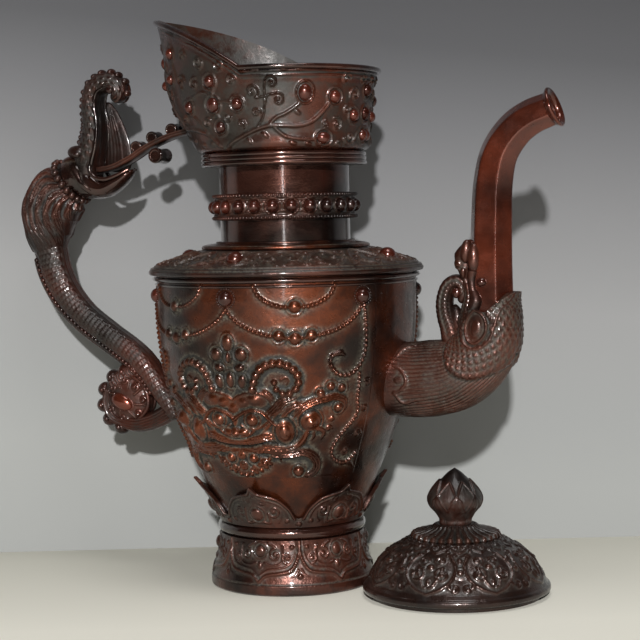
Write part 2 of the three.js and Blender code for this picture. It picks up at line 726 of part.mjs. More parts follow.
// Spout root: a hollow elbow on the bowl that narrows to the tube
const elbow = {
  path: [...elbowPath, [spoutPath[0][0], elbowTop]],
  thick: [...elbowThick, elbowThick[elbowThick.length - 1]],
  wide: [...elbowWide, elbowWide[elbowWide.length - 1]],
  steps: 14,
  sides: 14,
};
addPiece('spout_root', carved(pipe(elbow, bowlSheet), [bowlClear]));

// Spout tube: six-sided, corners in the plane y = 0, tapering to the lip
const spoutStart = [spoutPath[0][0], elbowTop + tubeFit];
const spout = {
  path: [spoutStart, ...spoutPath, spoutEnd], thick: [spoutRootRadius, spoutMouthRadius],
  wide: [spoutRootRadius, spoutMouthRadius], steps: 16, sides: 6,
};
addPiece('spout_tube', pipe(spout, tubeSheet), redCopper);
const spoutAim = flatCurve(spout.path).getTangent(1);
const lipTurn = new THREE.Quaternion().setFromUnitVectors(new THREE.Vector3(0, 0, 1), spoutAim);
const lipBore = spoutMouthRadius - tubeSheet;
addPiece('spout_lip', revolve([
  [lipBore, gap], [spoutMouthRadius, gap], [lipRadius - 0.6, lipLength - 1], [lipRadius, lipLength],
  [lipRadius - 0.6, lipLength + 0.8], [lipBore + 0.8, lipLength + 0.4],
], 20).applyQuaternion(lipTurn).translate(spoutEnd[0], 0, spoutEnd[1]), redCopper);

// Makara head: a sleeve round the elbow, cut low towards the bowl and high on the far side
const sleeve = { ...elbow, path: [...elbow.path, [spoutPath[0][0], jawTop]], from: headStart };
sleeve.thick = [...elbow.thick, elbow.thick[elbow.thick.length - 1]];
sleeve.wide = [...elbow.wide, elbow.wide[elbow.wide.length - 1]];
const sleeveShell = skin([
  ...ringsAlong(sleeve, headFit + headSheet), ...ringsAlong(sleeve, headFit).reverse(),
], true);
const jawWidth = elbowThick[elbowThick.length - 1];
const mouthCut = new THREE.BoxGeometry(jawTop, jawTop, jawTop).translate(-jawTop / 2, 0, jawTop / 2)
  .rotateY(THREE.MathUtils.degToRad(-jawSlope))
  .translate(spoutPath[0][0] + jawWidth, 0, jawTop - mouthSetBack);
addPiece('spout_head', carved(sleeveShell, [mouthCut]), darkCopper);

// Its trunk and crest, on the bowl's side of the tube
const spoutClear = skin(ringsAlong(spout, gap));
const elbowClear = bar(elbow, gap);
const sleeveClear = skin(ringsAlong(sleeve, headFit + headSheet + gap));
const sleeveCutter = fromSolid(toSolid(sleeveClear).subtract(toSolid(mouthCut)));
const spoutTrunk = {
  path: spoutTrunkPath, thick: spoutTrunkThick, wide: spoutTrunkWide, steps: 16, sides: 8,
};
addPiece('spout_trunk', carved(bar(spoutTrunk), [spoutClear, elbowClear, sleeveCutter]), darkCopper);
const crest = { path: crestPath, thick: crestThick, wide: crestWide, steps: 12, sides: 8 };
addPiece('spout_crest', carved(bar(crest), [bar(spoutTrunk, gap), elbowClear, sleeveCutter]), darkCopper);

// Handle: a scaled body with a ridge on its outer side
const body = { path: handlePath, thick: handleThick, wide: handleWide, steps: 18, sides: 10 };
const maneStrip = { path: manePath, thick: maneThick, wide: maneWide, steps: 12, sides: 14 };
addPiece('handle_body', carved(bar(body), [bowlClear, bar(maneStrip, gap)]), darkCopper);
const ridge = {
  ...body,
  from: ridgeStart,
  thick: ridgeWidth,
  wide: ridgeHalf,
  sides: 6,
  lift: handleThick.map((half) => half + ridgeWidth / 2),
};
addPiece('handle_ridge', carved(bar(ridge), [bowlClear, bar(body, gap), bar(maneStrip, gap)]), darkCopper);
addPiece('handle_mane', bar(maneStrip), darkCopper);

// Head: a collar, then the skull that runs out into the lower jaw
const collarPath = [manePath[manePath.length - 1], headPath[0]];
const [maneEnd, skullStart] = collarPath.map(([x, z]) => new THREE.Vector3(x, 0, z));
const collarAim = skullStart.clone().sub(maneEnd).normalize();
const collarEnds = [gap, gap + headCollarLength].map((reach) => {
  const end = maneEnd.clone().addScaledVector(collarAim, reach);
  return [end.x, end.z];
});
const headCollar = { path: collarEnds, thick: headCollarThick, wide: headCollarWide, steps: 1, sides: 16 };
addPiece('handle_collar', carved(bar(headCollar), [bar(maneStrip, gap)]));
const head = { path: headPath, thick: headThick, wide: headWide, steps: 14, sides: 12 };
addPiece('handle_head', carved(bar(head), [bar(headCollar, gap)]), copper);
const trunk = { path: trunkPath, thick: trunkThick, wide: trunkWide, steps: 22, sides: 10 };
addPiece('handle_trunk', carved(bar(trunk), [bar(head, gap), bar(headCollar, gap)]), darkCopper);

// Tongue: a bar from the mouth to the cup, with knobs on top and a roll beneath
const tongue = { path: tonguePath, thick: tongueHalf, wide: tongueWide, steps: 10, sides: 8 };
addPiece('handle_tongue', carved(bar(tongue), [cupClear, bar(head, gap), bar(trunk, gap)]));
const tongueClear = bar(tongue, gap);
function roll([x, z], radius, width) {
  return new THREE.CylinderGeometry(radius, radius, width, 12).translate(x, 0, z);
}
tongueKnobs.forEach((place, i) => {
  addPiece(`tongue_knob_${i + 1}`, carved(roll(place, knobRadius, knobWidth), [tongueClear, cupClear]));
});
addPiece('tongue_roll', carved(roll(rollCentre, rollRadius, rollWidth), [tongueClear]));

// Tail curl: a leaf-shaped plate that hangs under the handle and runs back to the bowl
const curlShape = new THREE.Shape();
curlOutline.forEach(([x, z], i) => (i === 0 ? curlShape.moveTo(x, z) : curlShape.lineTo(x, z)));
const curlPlate = new THREE.ExtrudeGeometry(curlShape, { depth: curlWidth, bevelEnabled: false })
  .rotateX(Math.PI / 2).translate(0, curlWidth / 2, 0);
addPiece('tail_curl', carved(curlPlate, [bowlClear, bar(body, gap), bar(ridge, gap)]), darkCopper);
const bossBack = new THREE.BoxGeometry(4 * curlBossRadius, curlWidth + 2 * gap, 4 * curlBossRadius)
  .translate(curlBossPlace[0], 0, curlBossPlace[1]);
for (const [name, side] of [['tail_boss_front', -1], ['tail_boss_rear', 1]]) {
  const place = new THREE.Vector3(curlBossPlace[0], side * curlWidth / 2, curlBossPlace[1]);
  const dome = boss(curlBossRadius, curlBossRise, place, new THREE.Vector3(0, side, 0));
  addPiece(name, carved(dome, [bossBack]), redCopper);
}

// Lid: a dome with a flat rim over a spigot ring that fits inside the cup's mouth
const lidRadius = mouthRadius - cupSheet - lidClearance;
const lidBase = spigotDepth + gap;
const domeOutside = lidDome.map(([share, height]) => [lidRadius * share, lidBase + height]);
const domeTop = lidBase + lidTopHeight;
const domeInside = domeOutside.map(([radius, height]) => [radius - lidSheet, height - lidSheet / 2]);
domeInside.reverse();
const tenonHole = tenonRadius + gap;
const rimInner = domeInside[domeInside.length - 1][0];
addPiece('lid_dome', revolve([
  [rimInner, lidBase], [lidRadius, lidBase], [lidRadius, lidBase + lidRimHeight], ...domeOutside,
  [lidTopRadius, domeTop], [tenonHole, domeTop], [tenonHole, domeTop - lidSheet],
  [lidTopRadius - lidSheet, domeTop - lidSheet], ...domeInside,
]), darkCopper, lid);
const spigotRadius = lidRadius - spigotInset;
addPiece('lid_spigot', revolve([
  [spigotRadius - spigotSheet, 0], [spigotRadius, 0], [spigotRadius, spigotDepth],
  [spigotRadius - spigotSheet, spigotDepth],
]), darkCopper, lid);
const collarLow = domeTop + gap;
const collarHigh = collarLow + knobCollarHeight;
addPiece('knob_collar', revolve([
  [tenonHole, collarLow], [knobCollarRadius, collarLow], [knobCollarRadius, collarLow + knobCollarEdge],
  [knobCollarRadius * 0.72, collarLow + knobCollarHeight * 0.5], [knobCollarTopRadius, collarHigh],
  [tenonHole, collarHigh],
]), darkCopper, lid);
const knobBase = collarHigh + gap;
const tenonEnd = domeTop - lidSheet - tenonReach;
addPiece('lid_knob', revolve([
  [0, tenonEnd], [tenonRadius, tenonEnd], [tenonRadius, knobBase],
  ...knobProfile.map(([radius, height]) => [radius, knobBase + height]), [0, knobBase + knobTip],
], knobSteps), copper, lid);

export default ewer;
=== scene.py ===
import math

import bmesh
import bpy
import numpy as np
from mathutils import Matrix, Vector


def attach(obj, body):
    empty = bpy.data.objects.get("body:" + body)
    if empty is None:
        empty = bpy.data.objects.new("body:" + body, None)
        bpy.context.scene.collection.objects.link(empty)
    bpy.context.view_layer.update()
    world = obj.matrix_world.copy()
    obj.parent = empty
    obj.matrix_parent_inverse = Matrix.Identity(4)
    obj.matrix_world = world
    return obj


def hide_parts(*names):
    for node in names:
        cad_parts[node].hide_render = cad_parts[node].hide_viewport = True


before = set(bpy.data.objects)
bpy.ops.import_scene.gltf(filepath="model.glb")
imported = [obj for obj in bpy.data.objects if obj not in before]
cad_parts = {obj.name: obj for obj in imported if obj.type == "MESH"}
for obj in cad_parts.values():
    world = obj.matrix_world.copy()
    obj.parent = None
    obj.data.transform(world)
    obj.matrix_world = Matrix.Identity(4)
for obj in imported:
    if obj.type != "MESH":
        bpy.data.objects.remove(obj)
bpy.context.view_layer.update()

# Sizes are in millimetres until a mesh is written, and angles go round from the front, towards the spout.
mm = 0.001
fullTurn = 2 * math.pi

# Camera: where the photograph was taken from
camera = {
    "azimuth": 25,
    "distance": 875,
    "height": 185,
    "pitch": -3.53,
    "roll": -1.24,
    "focalPixels": 1750,
    "asidePixels": 32.5,
    "pictureWidth": 640,
    "sensor": 36,
}


def placeCamera(facts):
    turn = math.radians(facts["azimuth"])
    toward = Vector((math.sin(turn), -math.cos(turn), 0))
    across = Vector((math.cos(turn), math.sin(turn), 0))
    aside = math.atan(facts["asidePixels"] / facts["focalPixels"])
    ahead = -toward * math.cos(aside) + across * math.sin(aside)
    right = ahead.cross(Vector((0, 0, 1)))
    pitch, roll = math.radians(facts["pitch"]), math.radians(facts["roll"])
    ahead = ahead * math.cos(pitch) + Vector((0, 0, 1)) * math.sin(pitch)
    up = right.cross(ahead)
    right, up = right * math.cos(roll) + up * math.sin(roll), up * math.cos(roll) - right * math.sin(roll)
    data = bpy.data.cameras.new("camera")
    data.sensor_width = facts["sensor"]
    data.lens = facts["focalPixels"] / facts["pictureWidth"] * facts["sensor"]
    data.clip_start, data.clip_end = 0.01, 50
    body = bpy.data.objects.new("camera", data)
    place = toward * facts["distance"] + Vector((0, 0, facts["height"]))
    turned = Matrix((right, up, -ahead)).transposed().to_4x4()
    body.matrix_world = Matrix.Translation(place * mm) @ turned
    bpy.context.scene.collection.objects.link(body)
    bpy.context.scene.camera = body


placeCamera(camera)
print("camera placed")


# Shader nodes

class Wire:
    # A node's output, with the sums that shader maths needs
    def __init__(self, look, socket):
        self.look, self.socket = look, socket

    def sum(self, operation, left, right):
        return self.look.add("ShaderNodeMath", {"operation": operation}, {0: left, 1: right})

    def __add__(self, other):
        return self.sum("ADD", self, other)

    def __mul__(self, other):
        return self.sum("MULTIPLY", self, other)

    def __sub__(self, other):
        return self.sum("SUBTRACT", self, other)

    def __rsub__(self, other):
        return self.sum("SUBTRACT", other, self)

    __radd__ = __add__
    __rmul__ = __mul__

    def between(self, low, high, toLow=0, toHigh=1):
        values = {"Value": self, "From Min": low, "From Max": high, "To Min": toLow, "To Max": toHigh}
        return self.look.add("ShaderNodeMapRange", {"interpolation_type": "SMOOTHSTEP"}, values)


class Look:
    # A material or the world, built node by node
    def __init__(self, owner):
        owner.use_nodes = True
        self.tree = owner.node_tree
        self.tree.nodes.clear()

    def add(self, kind, settings=None, sockets=None, output=0):
        node = self.tree.nodes.new(kind)
        for name, value in (settings or {}).items():
            if name == "stops":
                for i, (place, colour) in enumerate(value):
                    stop = node.color_ramp.elements[i] if i < 2 else node.color_ramp.elements.new(place)
                    stop.position, stop.color = place, (*colour, 1)
            else:
                setattr(node, name, value)
        for name, value in (sockets or {}).items():
            if isinstance(value, Wire):
                self.tree.links.new(value.socket, node.inputs[name])
            else:
                short = isinstance(value, tuple) and len(value) == 3 and node.inputs[name].type == "RGBA"
                node.inputs[name].default_value = (*value, 1) if short else value
        return Wire(self, node.outputs[output]) if len(node.outputs) else node

    def mix(self, amount, first, second):
        settings = {"data_type": "RGBA", "clamp_factor": True}
        return self.add("ShaderNodeMix", settings, {0: amount, 6: first, 7: second}, 2)

    def noise(self, scale, detail, rough=0.55):
        place = self.add("ShaderNodeTexCoord", None, None, "Object")
        values = {"Vector": place, "Scale": scale, "Detail": detail, "Roughness": rough}
        return self.add("ShaderNodeTexNoise", None, values)

    def attribute(self, name):
        return self.add("ShaderNodeAttribute", {"attribute_name": name}, output=2)


def tone(red, green, blue):
    # A screen colour from 0 to 255 as the shader's linear colour
    return tuple(((part / 255 + 0.055) / 1.055) ** 2.4 if part > 10 else part / 3295 for part in (red, green,
            blue))


# Copper: a brown skin over red metal, grey-olive dust in the hollows with near-black painted shade in the deepest
# of them, and rubbed high places
copperLooks = {
    "field": {"dark": (28, 16, 12), "light": (104, 49, 23), "rough": 0.3, "metal": 0.75, "coat": 0.3,
              "dustAndPaintedLight": 0.88,
              "rub": 0.45, "grain": 0.7, "grime": (84, 80, 68)},
    "polished": {"dark": (26, 16, 13), "light": (82, 47, 37), "rough": 0.16, "metal": 0.7, "coat": 0.9,
                 "dustAndPaintedLight": 0.8,
                 "rub": 0.7, "grain": 0.4, "grime": (70, 64, 54)},
    "tube": {"dark": (64, 30, 21), "light": (116, 52, 33), "rough": 0.2, "metal": 0.65, "coat": 0.75,
             "dustAndPaintedLight": 0.8,
             "rub": 0.7, "grain": 0.2, "grime": (70, 64, 54)},
    "relief": {"dark": (25, 16, 13), "light": (84, 45, 33), "rough": 0.34, "metal": 0.6, "coat": 0.35,
               "dustAndPaintedLight": 0.78,
               "rub": 0.5, "grain": 0.9, "grime": (68, 63, 53)},
    "stud": {"dark": (34, 17, 13), "light": (92, 40, 27), "rough": 0.26, "metal": 0.55, "coat": 0.6,
             "dustAndPaintedLight": 0.8,
             "rub": 0.3, "grain": 0.4, "grime": (50, 46, 38)},
    "cup": {"dark": (19, 13, 11), "light": (86, 40, 25), "rough": 0.27, "metal": 0.65, "coat": 0.45,
            "dustAndPaintedLight": 1,
            "rub": 0.5, "grain": 0.55, "grime": (35, 33, 27)},
    "dragon": {"dark": (22, 14, 11), "light": (80, 38, 26), "rough": 0.38, "metal": 0.55, "coat": 0.3,
               "dustAndPaintedLight": 0.55,
               "rub": 0.5, "grain": 1, "grime": (42, 39, 32)},
    "lid": {"dark": (17, 13, 12), "light": (46, 29, 23), "rough": 0.3, "metal": 0.55, "coat": 0.45,
            "dustAndPaintedLight": 0.7,
            "rub": 0.5, "grain": 0.8, "grime": (52, 48, 42)},
}
soilTone, creaseShadeTone, crestTone = (30, 25, 20), (12, 10, 8), (110, 67, 50)


def copperLook(name, facts):
    material = bpy.data.materials.new(name)
    look = Look(material)
    patch = look.noise(24, 4).between(0.34, 0.66)
    dent = look.noise(42, 2)
    fine = look.noise(170, 5, rough=0.65)
    speck = look.noise(900, 2)
    hollow = look.attribute("hollow")
    crest = look.attribute("crest")
    metal = look.mix(patch, tone(*facts["dark"]), tone(*facts["light"]))
    metal = look.mix(fine.between(0.46, 0.66) * 0.6 * facts["grain"], metal, tone(*facts["dark"]))
    rubbed = crest * fine.between(0.35, 0.6, 0.3, 1) * facts["rub"]
    metal = look.mix(rubbed, metal, tone(*crestTone))
    # Grey-olive dust in the hollows. Where a piece sets its hollow mark to darken an inner wall or to lighten a
    # plate, this mask also carries painted shade or painted light
    dustAndPaintedLight = (hollow * fine.between(0.25, 0.65, 0.6, 1.15)).between(0.06, 0.9)
    dusty = look.mix(speck.between(0.42, 0.62), tone(*facts["grime"]), tone(*soilTone))
    colour = look.mix(dustAndPaintedLight * facts["dustAndPaintedLight"], metal, dusty)
    # Painted shade: the deepest hollows and cut lines go near-black
    colour = look.mix(hollow.between(0.62, 1, 0, 0.85), colour, tone(*creaseShadeTone))
    rough = fine.between(0.3, 0.7, facts["rough"] - 0.06, facts["rough"] + 0.1)
    rough = rough + dustAndPaintedLight * 0.22
    relief = dent + fine * 0.38 * facts["grain"] + speck * 0.1 * facts["grain"]
    bump = look.add("ShaderNodeBump", None, {"Strength": 1, "Distance": 0.0011, "Height": relief})
    shader = look.add("ShaderNodeBsdfPrincipled", None, {
        "Base Color": colour, "Roughness": rough, "Metallic": facts["metal"] - dustAndPaintedLight * 0.6,
        "Coat Weight": facts["coat"] - dustAndPaintedLight * facts["coat"] * 0.6, "Coat Roughness": 0.11, "Normal": bump,
    })
    look.add("ShaderNodeOutputMaterial", None, {"Surface": shader})
    return material


looks = {name: copperLook("copper_" + name, facts) for name, facts in copperLooks.items()}
print("materials made")


# Lines and outlines

def through(points, count):
    # A smooth line through points, as count points, evenly numbered
    known = np.array(points, float)
    known = np.vstack([2 * known[0] - known[1], known, 2 * known[-1] - known[-2]])
    at = np.linspace(0, len(points) - 1, count)
    step = np.minimum(at.astype(int), len(points) - 2)
    t = (at - step)[:, None]
    a, b, c, d = (known[step + i] for i in range(4))
    return 0.5 * (2 * b + (c - a) * t + (2 * a - 5 * b + 4 * c - d) * t**2 + (3 * b - a - 3 * c + d) * t**3)


def evenly(line, count):
    # The same line with its points at equal distances, and their distances from its start
    reach = np.concatenate([[0], np.cumsum(np.linalg.norm(np.diff(line, axis=0), axis=1))])
    at = np.linspace(0, reach[-1], count)
    return np.stack([np.interp(at, reach, line[:, i]) for i in range(line.shape[1])], 1), at


def rounded(corners, radius, steps):
    # An outline with its inner corners rounded off
    corners = [np.array(corner, float) for corner in corners]
    out = [corners[0]]
    for before, corner, after in zip(corners, corners[1:], corners[2:]):
        back, on = before - corner, after - corner
        reach = min(radius, np.linalg.norm(back) * 0.45, np.linalg.norm(on) * 0.45)
        start = corner + back / np.linalg.norm(back) * reach
        end = corner + on / np.linalg.norm(on) * reach
        for t in np.linspace(0, 1, steps + 1):
            out.append(start * (1 - t) ** 2 + 2 * corner * t * (1 - t) + end * t**2)
    return np.array(out + [corners[-1]])


def blurred(layer, reach):
    # Box blur: wraps round, and holds its edge up and down
    out = np.pad(layer, ((reach + 1, reach), (0, 0)), mode="edge").cumsum(0)
    out = (out[2 * reach + 1:] - out[:-2 * reach - 1]) / (2 * reach + 1)
    out = np.pad(out, ((0, 0), (reach + 1, reach)), mode="wrap").cumsum(1)
    return (out[:, 2 * reach + 1:] - out[:, :-2 * reach - 1]) / (2 * reach + 1)


class Relief:
    # Hammered ornament as a height map: angle round a wall and distance up it
    def __init__(self, length, radius, cell):
        self.cell = cell
        self.rows = int(length / cell) + 2
        up = np.arange(self.rows) * cell
        self.radius = radius(up) if callable(radius) else np.full(self.rows, float(radius))
        self.columns = int(fullTurn * self.radius.max() / cell)
        self.step = fullTurn / self.columns
        self.swell, self.detail, self.cuts = (np.zeros((self.rows, self.columns)) for _ in range(3))

    def near(self, up):
        return self.radius[int(np.clip(up / self.cell, 0, self.rows - 1))]

    def window(self, angle, up, reach):
        row, column = up / self.cell, math.radians(angle) / self.step
        radius = self.near(up)
        tall, wide = reach / self.cell, min(reach / radius / self.step, self.columns / 2 - 1)
        rows = np.arange(max(0, int(row - tall)), min(self.rows, int(row + tall) + 2))[:, None]
        columns = np.arange(math.floor(column - wide), math.ceil(column + wide) + 1)[None, :]
        x = (columns - column) * self.step * radius
        return (rows, columns % self.columns), x, (rows - row) * self.cell

    def dome(self, angle, up, wide, tall=None, high=1.0, turn=0.0, layer="detail"):
        tall = tall or wide
        index, x, y = self.window(angle, up, max(wide, tall))
        c, s = math.cos(math.radians(turn)), math.sin(math.radians(turn))
        away = ((x * c + y * s) / wide) ** 2 + ((y * c - x * s) / tall) ** 2
        target = getattr(self, layer)
        target[index] = np.maximum(target[index], high * np.sqrt(np.clip(1 - away, 0, 1)))

    def ring(self, angle, up, wide, tall=None, width=0.5, high=0.5):
        tall = tall or wide
        index, x, y = self.window(angle, up, max(wide, tall) + 2 * width)
        away = (np.hypot(x / wide, y / tall) - 1) * min(wide, tall) / width
        self.detail[index] = np.maximum(self.detail[index], high * np.sqrt(np.clip(1 - away**2, 0, 1)))

    def boss(self, angle, up, wide, high):
        self.dome(angle, up, wide, high=high)
        self.ring(angle, up, wide + 0.9)

    def line(self, points, closer):
        # [angle, up] points close together along a smooth line through the given ones
        knots = through(points, 16 * (len(points) - 1) + 1)
        flat = np.stack([np.radians(knots[:, 0]) * self.near(knots[:, 1].mean()), knots[:, 1]], 1)
        reach = np.concatenate([[0], np.cumsum(np.linalg.norm(np.diff(flat, axis=0), axis=1))])
        at = np.linspace(0, reach[-1], max(2, int(reach[-1] / closer) + 1))
        return np.stack([np.interp(at, reach, knots[:, i]) for i in range(2)], 1)

    def stroke(self, points, width=0.7, high=0.7, taper=(1, 1), layer="detail"):
        dots = self.line(points, max(0.22, width * 0.4))
        sizes = np.interp(np.linspace(0, 1, len(dots)), np.linspace(0, 1, len(taper)), taper)
        for (angle, up), size in zip(dots, sizes):
            self.dome(angle, up, width * size, high=high * size, layer=layer)

    def strands(self, points, count, apart, width, high, taper=(1, 1)):
        # Strokes side by side: a lock of hair or a grooved band
        middle = np.array(points, float)
        ahead = np.gradient(middle * [math.radians(1) * self.near(middle[:, 1].mean()), 1], axis=0)
        aside = np.stack([-ahead[:, 1], ahead[:, 0]], 1) / np.linalg.norm(ahead, axis=1)[:, None]
        aside[:, 0] /= math.radians(1) * self.near(middle[:, 1].mean())
        for i in range(count):
            self.stroke(middle + aside * (i - (count - 1) / 2) * apart, width, high, taper)

    def beads(self, points, radius, apart, high=None, taper=(1, 1)):
        dots = self.line(points, apart * radius)
        sizes = np.interp(np.linspace(0, 1, len(dots)), np.linspace(0, 1, len(taper)), taper)
        for (angle, up), size in zip(dots, sizes):
            self.dome(angle, up, radius * size, high=(high or radius) * size)

    def curl(self, angle, up, size, start, turns, tail):
        # [angle, up] points of a spiral that winds in, after the points of its stem
        wind, inner = np.linspace(0, 1, int(10 * abs(turns)) + 2), 0.15
        reach = size * (1 - (1 - inner) * wind)
        turn = np.radians(start + 360 * turns * wind)
        degrees = np.degrees(reach * np.cos(turn) / self.near(up))
        return [*tail, *zip(angle + degrees, up + reach * np.sin(turn))]

    def scale(self, angle, up, wide, tall, high, toward):
        # A scale that rises towards its free edge, which lies up the map, or down it
        index, x, y = self.window(angle, up, max(wide, tall))
        away = (x / wide) ** 2 + (y / tall) ** 2
        tilt = 0.25 + 0.75 * (toward * y / tall + 1) / 2
        edge = np.clip((1 - away) * 3, 0, 1)
        rib = 0.25 * np.exp(-((x / wide / 0.16) ** 2))
        layer = self.detail
        layer[index] = np.maximum(layer[index], np.where(away < 1, high * (tilt * edge ** 0.4 + rib * edge),
                                                         0))

    def fill(self, points, high):
        # Raises all of an outline of [angle, up] points
        rows = np.arange(self.rows)[:, None] * self.cell
        columns = np.degrees(np.arange(self.columns) * self.step)[None, :]
        inside = np.zeros((self.rows, self.columns), bool)
        for (a, b), (c, d) in zip(points, [*points[1:], points[0]]):
            crosses = (b > rows) != (d > rows)
            inside ^= crosses & (columns < (c - a) * (rows - b) / (d - b if d != b else 1e-9) + a)
        self.swell[inside] = np.maximum(self.swell[inside], high)
        return inside

    def spiral(self, angle, up, size, start, turns, width, high, tail=()):
        self.stroke(self.curl(angle, up, size, start, turns, tail), width, high, (1, 1, 0.8))
        self.dome(angle, up, width * 1.7, high=high * 1.3)

    def close(self, mirror=None, halo=1.6):
        # The finished height, with its hollows and rubbed crests, and first everything again as in
        # a mirror that stands at an angle
        if mirror is not None:
            places = (2 * math.radians(mirror) / self.step - np.arange(self.columns)) % self.columns
            index = np.round(places).astype(int) % self.columns
            for name in ("swell", "detail", "cuts"):
                layer = getattr(self, name)
                setattr(self, name, np.maximum(layer, layer[:, index]))
        self.height = blurred(self.swell, 2) + blurred(self.detail, 1) * 0.35 + self.detail * 0.65
        self.height = self.height - blurred(self.cuts, 1)
        reach = max(2, int(halo / self.cell))
        low = blurred(blurred(self.height, reach), reach)
        near = blurred(blurred(self.detail + self.cuts > 0.05, reach), reach)
        # The hollow mark: dust in recesses and beside the relief, and at its deepest, cut lines most of all,
        # painted shade
        self.hollow = np.clip((low - self.height) * 1.5 + near * 0.5 + self.cuts * 2, 0, 1)
        self.hollow = self.hollow * (self.height < low + 0.15)
        self.crest = np.clip((self.height - low) * 1.3 - 0.15, 0, 1)
        self.hollow, self.crest = blurred(self.hollow, 1), blurred(self.crest, 1)

    def at(self, layer, angle, up):
        column = (angle / self.step) % self.columns
        row = np.clip(up / self.cell, 0, self.rows - 1.001)
        left, low = column.astype(int) % self.columns, row.astype(int)
        right, a, b = (left + 1) % self.columns, column % 1, row % 1
        bottom = layer[low, left] * (1 - a) + layer[low, right] * a
        return bottom * (1 - b) + (layer[low + 1, left] * (1 - a) + layer[low + 1, right] * a) * b


# Meshes

def finishPiece(mesh, name, look, slot, body="vessel", stands=(), sharp=40):
    mesh.polygons.foreach_set("use_smooth", np.ones(len(mesh.polygons), bool))
    mesh.set_sharp_from_angle(angle=math.radians(sharp))
    mesh.materials.append(looks[look])
    piece = bpy.data.objects.new(name, mesh)
    bpy.context.scene.collection.objects.link(piece)
    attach(piece, body)
    if stands:
        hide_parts(*stands)
    return piece


def sheetMesh(name, columns, rows, place, marks=None):
    # A grid of columns by rows, bent into place(i, j) in millimetres, with its seams merged.
    # marks gives the hollow and crest of each point.
    merge = 0.004 * mm
    bm = bmesh.new()
    bmesh.ops.create_grid(bm, x_segments=columns, y_segments=rows, size=0.5)
    mesh = bpy.data.meshes.new(name)
    bm.to_mesh(mesh)
    flat = np.zeros(len(mesh.vertices) * 3, np.float32)
    mesh.vertices.foreach_get("co", flat)
    flat = flat.reshape(-1, 3)
    i = np.round((flat[:, 0] + 0.5) * columns).astype(int)
    j = np.round((flat[:, 1] + 0.5) * rows).astype(int)
    points = place(i, j)
    mesh.vertices.foreach_set("co", (np.stack(points, 1) * mm).astype(np.float32).ravel())
    for mark, values in (marks(i, j) if marks else {}).items():
        mesh.attributes.new(mark, "FLOAT", "POINT").data.foreach_set("value", values.astype(np.float32))
    bm.clear()
    bm.from_mesh(mesh)
    bmesh.ops.remove_doubles(bm, verts=bm.verts, dist=merge)
    bmesh.ops.dissolve_degenerate(bm, edges=bm.edges, dist=merge * 0.1)
    edges = [edge for edge in bm.edges if edge.is_boundary]
    if edges:
        bmesh.ops.holes_fill(bm, edges=edges, sides=0)
    bmesh.ops.recalc_face_normals(bm, faces=bm.faces)
    bm.to_mesh(mesh)
    bm.free()
    return mesh


def turnedPiece(name, wall, inside, look, slot, columns=120, rows=None, relief=None, low=None,
                span=(0, 360), lift=None, **rest):
    # A wall turned about the axis: its outer outline from low to high, then the inside, back to its
    # start. The relief is read by height over low, or else by distance along the wall.
    wall = np.array(wall, float)
    if rows:
        wall = evenly(wall, rows + 1)[0]
    reach = np.concatenate([[0], np.cumsum(np.linalg.norm(np.diff(wall, axis=0), axis=1))])
    up = reach if low is None else wall[:, 1] - low
    slope = np.gradient(wall, axis=0)
    slope /= np.linalg.norm(slope, axis=1)[:, None]
    inside = np.array(inside, float).reshape(-1, 2)
    closed = wall[0, 0] > 0
    outline = np.vstack([wall, inside, *([wall[:1]] if closed else [])])
    count, last = len(wall), len(outline) - 1
    full = span[1] - span[0] == 360

    def turn(i):
        return np.radians(span[0] + (i % columns if full else i) / columns * (span[1] - span[0]))

    def place(i, j):
        on, k = (j < count) | (closed & (j == last)), np.where(j < count, j, 0)
        angle = turn(i)
        rise = relief.at(relief.height, angle, up[k]) if relief else np.zeros(len(i))
        if lift is not None:
            rise = lift(rise, np.degrees(angle), wall[k, 1])
        rise = np.where(on, rise, 0)
        radius = outline[j, 0] + rise * slope[k, 1]
        return radius * np.sin(angle), -radius * np.cos(angle), outline[j, 1] - rise * slope[k, 0]

    def marks(i, j):
        on, k = (j < count) | (closed & (j == last)), np.where(j < count, j, 0)
        return {mark: np.where(on, relief.at(getattr(relief, mark), turn(i), up[k]), 0.0)
                for mark in ("hollow", "crest")}

    mesh = sheetMesh(name, columns, last, place, marks if relief else None)
    return finishPiece(mesh, name, look, slot, **rest)


